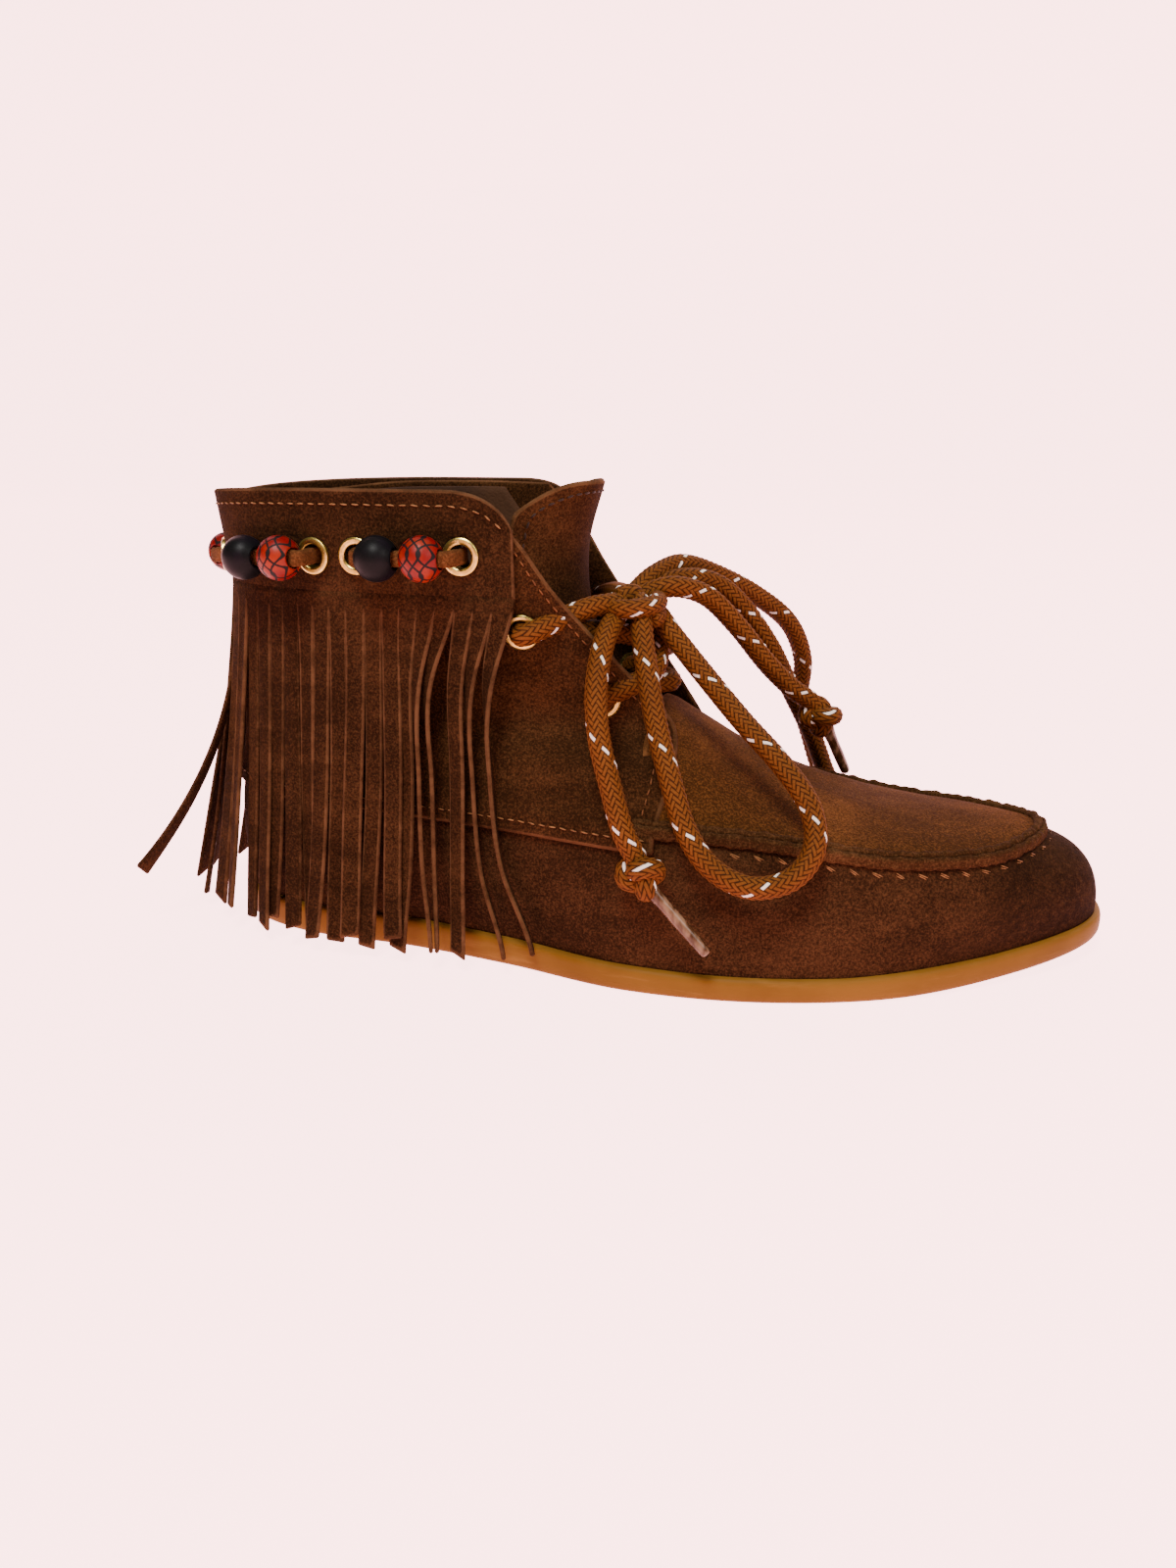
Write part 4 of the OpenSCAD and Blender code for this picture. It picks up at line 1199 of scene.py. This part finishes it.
def upright_tube(path, radius, sides):
    """A tube whose section keeps its first side pointing up."""
    t = unit(np.gradient(path, axis=0))
    up = unit(np.array([0, 0, 1.0]) - t * t[:, 2:3])
    verts, faces, uvs = tube_data(path, radius, sides)
    side = np.cross(t, up)
    turn = np.arange(sides) / sides
    s, w = mesh_grid(np.arange(len(path)) * THONG_STEP, turn)
    r = radius(s, w)
    ring = (path[:, None] + (r * np.cos(2 * np.pi * w))[..., None] * up[:, None]
            + (r * np.sin(2 * np.pi * w))[..., None] * side[:, None])
    verts[:-2] = ring.reshape(-1, 3)
    return verts, faces, uvs


thong = tube_object("bead_thong_suede", [upright_tube(resampled(thong_line, THONG_STEP), thong_radius, 20)],
                    SUEDE_THONG)
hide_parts("bead_thong")
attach(thong, "upper")
print("beads:", len(bead_places))

# %% [markdown]
# ## The laced throat and the knot
# The lace comes out of the lower eyelets, crosses the tongue, goes through the upper ones and meets in a
# bow knot that sits a little to the outer side.


# %% Throat and knot
def site_at(side, level, off):
    p, n = eyelet_site(side, level)
    return p + off * n


throat = []
for side, far, lift in ((-1, 1, 0), (1, -1, 1)):
    y = -side
    throat.append([site_at(side, 0, -4), site_at(side, 0, 1), site_at(side, 0, 5.2) + [-2, 2 * y, 2],
                   (2, -17 * y, 82 + 2 * lift), (-1, 0, 90 + 4.5 * y), (-6, 14 * y, 91),
                   site_at(far, 1, -5.5) + [12, -1.5 * y, -1], site_at(far, 1, -5)])
    throat.append([site_at(side, 1, -3.4), site_at(side, 1, 1.4), site_at(side, 1, 4.4) + [2.5, y, 1],
                   (site_at(side, 1, 6) + KNOT) / 2 + [3, 0, 3], KNOT + [-1, -5 * y, 0]])
throat.append([site_at(-1, 0, -4), site_at(-1, 0, -8) + [4, 5, 1], (4, 0, 75.5),
               site_at(1, 0, -8) + [4, -5, 1], site_at(1, 0, -4)])
throat_lace = tube_object("lace_throat_braid", [lace_data(p) for p in throat], LACE)
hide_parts("lace_throat")
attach(throat_lace, "upper")

turn = np.linspace(-0.2 * np.pi, 2.3 * np.pi, 60)
wrap = KNOT + np.stack([2 + 6.4 * np.cos(turn), -3.5 + 7.6 * np.sin(turn), -3.4 + 1.8 * turn / np.pi], -1)
core = [KNOT + d for d in ((-3, 4, -3), (1.5, 1, -1), (1, -2, 2), (-2, -5, 1))]
knot = tube_object("bow_knot_braid", [tube_data(wrap, lambda s, w: 0.9 * braid_radius(s, w), 32),
                                      lace_data(core)], LACE)
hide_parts("bow_knot")
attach(knot, "upper")

# %% [markdown]
# ## Stitches with Geometry Nodes
# A seam is a line of points a little above the leather. The node tree turns it into a curve, spaces
# points along it, puts a short rounded thread on each, and turns the lot into plain faces.


# %% Stitch tree
def stitch_tree():
    tree = bpy.data.node_groups.new("stitch_row", "GeometryNodeTree")
    face = tree.interface
    face.new_socket("Line", in_out="INPUT", socket_type="NodeSocketGeometry")
    for name, value in (("Spacing", 0.003), ("Length", 0.002), ("Thickness", 0.0006), ("Slant", 0.0),
                        ("Strays", 0.12)):
        face.new_socket(name, in_out="INPUT", socket_type="NodeSocketFloat").default_value = value
    face.new_socket("Seed", in_out="INPUT", socket_type="NodeSocketInt").default_value = 7
    face.new_socket("Thread", in_out="INPUT", socket_type="NodeSocketMaterial")
    face.new_socket("Stitches", in_out="OUTPUT", socket_type="NodeSocketGeometry")

    def node(kind, **settings):
        n = tree.nodes.new(kind)
        for key, value in settings.items():
            setattr(n, key, value)
        return n

    given = node("NodeGroupInput")
    curve = node("GeometryNodeMeshToCurve")
    spaced = node("GeometryNodeResampleCurve", mode="LENGTH")
    place = node("GeometryNodeInstanceOnPoints")
    thread = node("GeometryNodeMeshIcoSphere")
    thread.inputs["Subdivisions"].default_value = 2
    thread.inputs["Radius"].default_value = 0.5
    tangent = node("GeometryNodeInputTangent")
    turn = node("FunctionNodeAlignRotationToVector", axis="X")
    slant = node("FunctionNodeRotateRotation", rotation_space="LOCAL")
    tilt = node("FunctionNodeEulerToRotation")
    angle = node("ShaderNodeCombineXYZ")
    stray = node("FunctionNodeRandomValue", data_type="FLOAT")
    both = node("ShaderNodeMath", operation="ADD")
    opposite = node("ShaderNodeMath", operation="MULTIPLY")
    opposite.inputs[1].default_value = -1
    size = node("ShaderNodeCombineXYZ")
    real = node("GeometryNodeRealizeInstances")
    finish = node("GeometryNodeSetMaterial")
    result = node("NodeGroupOutput")
    for a, out, b, into in (
            (given, "Line", curve, "Mesh"), (curve, "Curve", spaced, "Curve"),
            (given, "Spacing", spaced, "Length"), (spaced, "Curve", place, "Points"),
            (thread, "Mesh", place, "Instance"), (tangent, "Tangent", turn, "Vector"),
            (given, "Strays", stray, "Max"), (given, "Strays", opposite, 0), (opposite, 0, stray, "Min"),
            (given, "Seed", stray, "Seed"), (given, "Slant", both, 0), (stray, 1, both, 1),
            (both, 0, angle, "Y"), (angle, 0, tilt, 0), (turn, 0, slant, 0), (tilt, 0, slant, 1),
            (slant, 0, place, "Rotation"), (given, "Length", size, "X"), (given, "Thickness", size, "Y"),
            (given, "Thickness", size, "Z"), (size, 0, place, "Scale"),
            (place, "Instances", real, "Geometry"), (real, "Geometry", finish, "Geometry"),
            (given, "Thread", finish, "Material"), (finish, "Geometry", result, "Stitches")):
        tree.links.new(a.outputs[out], b.inputs[into])
    return tree


STITCHES = stitch_tree()


def thread_material(name, dark, light):
    mat, tree, shader = new_material(name, dark, Roughness=0.6, Specular_IOR_Level=0.15)
    link(tree, noise(tree, 900, 2).ramp(0.3, 0.7).mix(dark, light), shader, "Base Color")
    bump(tree, shader, noise(tree, 3000, 2), 0.4, 0.0002)
    return mat


THREAD_TAN = thread_material("thread_tan", (0.070, 0.028, 0.0070), (0.150, 0.067, 0.021))
THREAD_DARK = thread_material("thread_dark", (0.006, 0.002, 0.0006), (0.016, 0.0056, 0.0018))
THREAD_BROWN = thread_material("thread_brown", (0.050, 0.0150, 0.0030), (0.115, 0.038, 0.0090))


def stitch(name, lines, material, body="upper", **settings):
    """Rows of stitches along lines of points in millimetres; settings are the tree's named inputs."""
    verts, edges = [], []
    for line in lines:
        base = len(verts)
        verts += (np.asarray(line) * MM).tolist()
        edges += [(base + i, base + i + 1) for i in range(len(line) - 1)]
    mesh = bpy.data.meshes.new(name)
    mesh.from_pydata(verts, edges, [])
    obj = bpy.data.objects.new(name, mesh)
    scene.collection.objects.link(obj)
    mod = obj.modifiers.new("stitches", "NODES")
    mod.node_group = STITCHES
    sockets = {s.name: s.identifier for s in STITCHES.interface.items_tree}
    mod[sockets["Thread"]] = material
    for key, value in settings.items():
        mod[sockets[key]] = value
    made = bpy.data.meshes.new_from_object(obj.evaluated_get(bpy.context.evaluated_depsgraph_get()))
    obj.modifiers.clear()
    obj.data = made
    made.shade_smooth()
    print(f"{name}: {len(made.polygons)} faces")
    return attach(obj, body)


# %% Rows of stitches
k_seam = np.linspace(QUARTER_K + 0.25, PLAN_N - QUARTER_K - 0.25, 400)
seam_top = seam_pt(k_seam)
below = wall_pt(k_seam, 0 * k_seam + 0.93)
out = unit(np.cross(seam_pt(k_seam + 0.1) - seam_pt(k_seam - 0.1), seam_top - wall_pt(k_seam, 0 * k_seam)))
moc_line = below + out * 0.25
stitch("moc_seam_stitches", [moc_line, moc_line + [0, 0, -0.55]], THREAD_TAN, Spacing=PUCKER * MM,
       Length=0.0032, Thickness=0.0003, Slant=0.42)

lateral_sheet = quarter_sheet(-1, 84, 120)
medial_sheet = quarter_sheet(1, 84, 120)[:, ::-1]


THREAD_LIFT = 0.3    # the thread's middle line lies this far above the leather


def on_sheet(sheet, v, u):
    """Points a little above a quarter's face; v and u are shares of the sheet's rows and columns."""
    rows, cols = sheet.shape[:2]
    n = grid_normals(sheet)
    if sheet is medial_sheet:
        n = -n
    i = np.clip(np.round(np.asarray(v) * (rows - 1)).astype(int), 0, rows - 1)
    j = np.clip(np.asarray(u) * (cols - 1), 0, cols - 1.001)
    j0 = np.floor(j).astype(int)
    f = (j - j0)[:, None]
    lifted = sheet + n * THREAD_LIFT
    return lifted[i, j0] * (1 - f) + lifted[i, j0 + 1] * f


u = np.linspace(0.01, 0.985, 260)
v = np.linspace(0.07, 0.99, 200)
foot = [on_sheet(s, 0 * u + 0.045, u) for s in (lateral_sheet, medial_sheet)]
front = [on_sheet(s, v, 0 * v + 0.978) for s in (lateral_sheet, medial_sheet)]
stitch("side_seam_stitches", foot, THREAD_TAN, Spacing=0.003, Length=0.0020, Thickness=0.0004, Slant=0.1)
stitch("quarter_front_stitches", front, THREAD_BROWN, Spacing=0.0029, Length=0.0019, Thickness=0.0004)

c = np.linspace(-0.955, 0.955, 700)
top_line = collar_pt(c, band_top(c) - 3.6 / BAND_H)
out = collar_out(c)
stitch("collar_top_stitches", [top_line + out * 0.35], THREAD_TAN, Spacing=0.0033, Length=0.0021,
       Thickness=0.00045, Slant=0.08)
tongue_line = np.concatenate([tongue_edge[20:-4, 3], tongue_edge[-4, 4:-4], tongue_edge[20:-4, -4][::-1]])
stitch("tongue_stitches", [tongue_line], THREAD_DARK, body="tongue", Spacing=0.003, Length=0.0021,
       Thickness=0.0006)

# %% [markdown]
# ## Hidden leather, floor and light
# The board and the heel counter hardly show, so the CAD shapes only get a finish. A pale floor that
# curves up behind the shoe and three large soft lights give the even light of a small product studio.
# The floor glows a little by itself, which keeps the shadows under the fringe soft and rosy.

# %% Finishes for the hidden CAD parts
BOARD = plain_leather("insole_board", (0.42, 0.30, 0.18), (0.55, 0.42, 0.27), rough=0.85)
finish_cad("insole_board", BOARD)
finish_cad("heel_counter", LINING)


# %% Floor and light
FLOOR_GLOW = 6.6


def floor_material():
    mat, tree, shader = new_material("floor_paint", (0.35, 0.18, 0.18), Roughness=0.9,
                                     Specular_IOR_Level=0.0, Emission_Strength=FLOOR_GLOW)
    cloud = noise(tree, 2, 2)
    link(tree, cloud.mix((0.35, 0.175, 0.175), (0.36, 0.18, 0.18)), shader, "Base Color")
    link(tree, cloud.mix((1.0, 0.535, 0.54), (1.0, 0.54, 0.545)), shader, "Emission Color")
    return mat


def sweep_floor():
    """A floor that curves up into a wall far behind the shoe, closed underneath."""
    path = [(-2.4, 0), (1.6, 0)]
    path += [(1.6 + 0.7 * math.sin(a), 0.7 - 0.7 * math.cos(a)) for a in np.linspace(0.1, math.pi / 2, 16)]
    path += [(2.3, 3.2)]
    back = [(y + 0.04, z - 0.04) for y, z in reversed(path)]
    ring = path + back
    n = len(ring)
    verts = [(x, y, z) for x in (-3.2, 3.2) for y, z in ring]
    faces = [(i, (i + 1) % n, n + (i + 1) % n, n + i) for i in range(n)]
    faces += [tuple(range(n))[::-1], tuple(range(n, 2 * n))]
    mesh = bpy.data.meshes.new("floor")
    mesh.from_pydata(verts, [], faces)
    return new_object("floor", mesh, floor_material())


def soft_light(name, at, aim, size, power, colour):
    data = bpy.data.lights.new(name, "AREA")
    data.shape, data.size, data.energy, data.color = "DISK", size, power, colour
    obj = bpy.data.objects.new(name, data)
    obj.location = at
    way = np.array(aim) - np.array(at)
    obj.rotation_euler = Vector(way).to_track_quat("-Z", "Y").to_euler()
    scene.collection.objects.link(obj)
    return obj


world = bpy.data.worlds.new("studio")
world.use_nodes = True
world.node_tree.nodes["Background"].inputs[0].default_value = (1.0, 0.90, 0.885, 1)
world.node_tree.nodes["Background"].inputs[1].default_value = 0.15
scene.world = world
lights = [soft_light("key", (-0.05, -0.65, 1.15), (0, 0, 0.05), 0.42, 38, (1.0, 0.98, 0.94)),
          soft_light("side", (0.95, -0.5, 0.75), (0, 0, 0.05), 0.6, 12, (1.0, 0.96, 0.92)),
          soft_light("back", (0.2, 1.0, 1.0), (0, 0, 0.08), 0.8, 8, (1.0, 0.97, 0.95))]
sweep_floor()
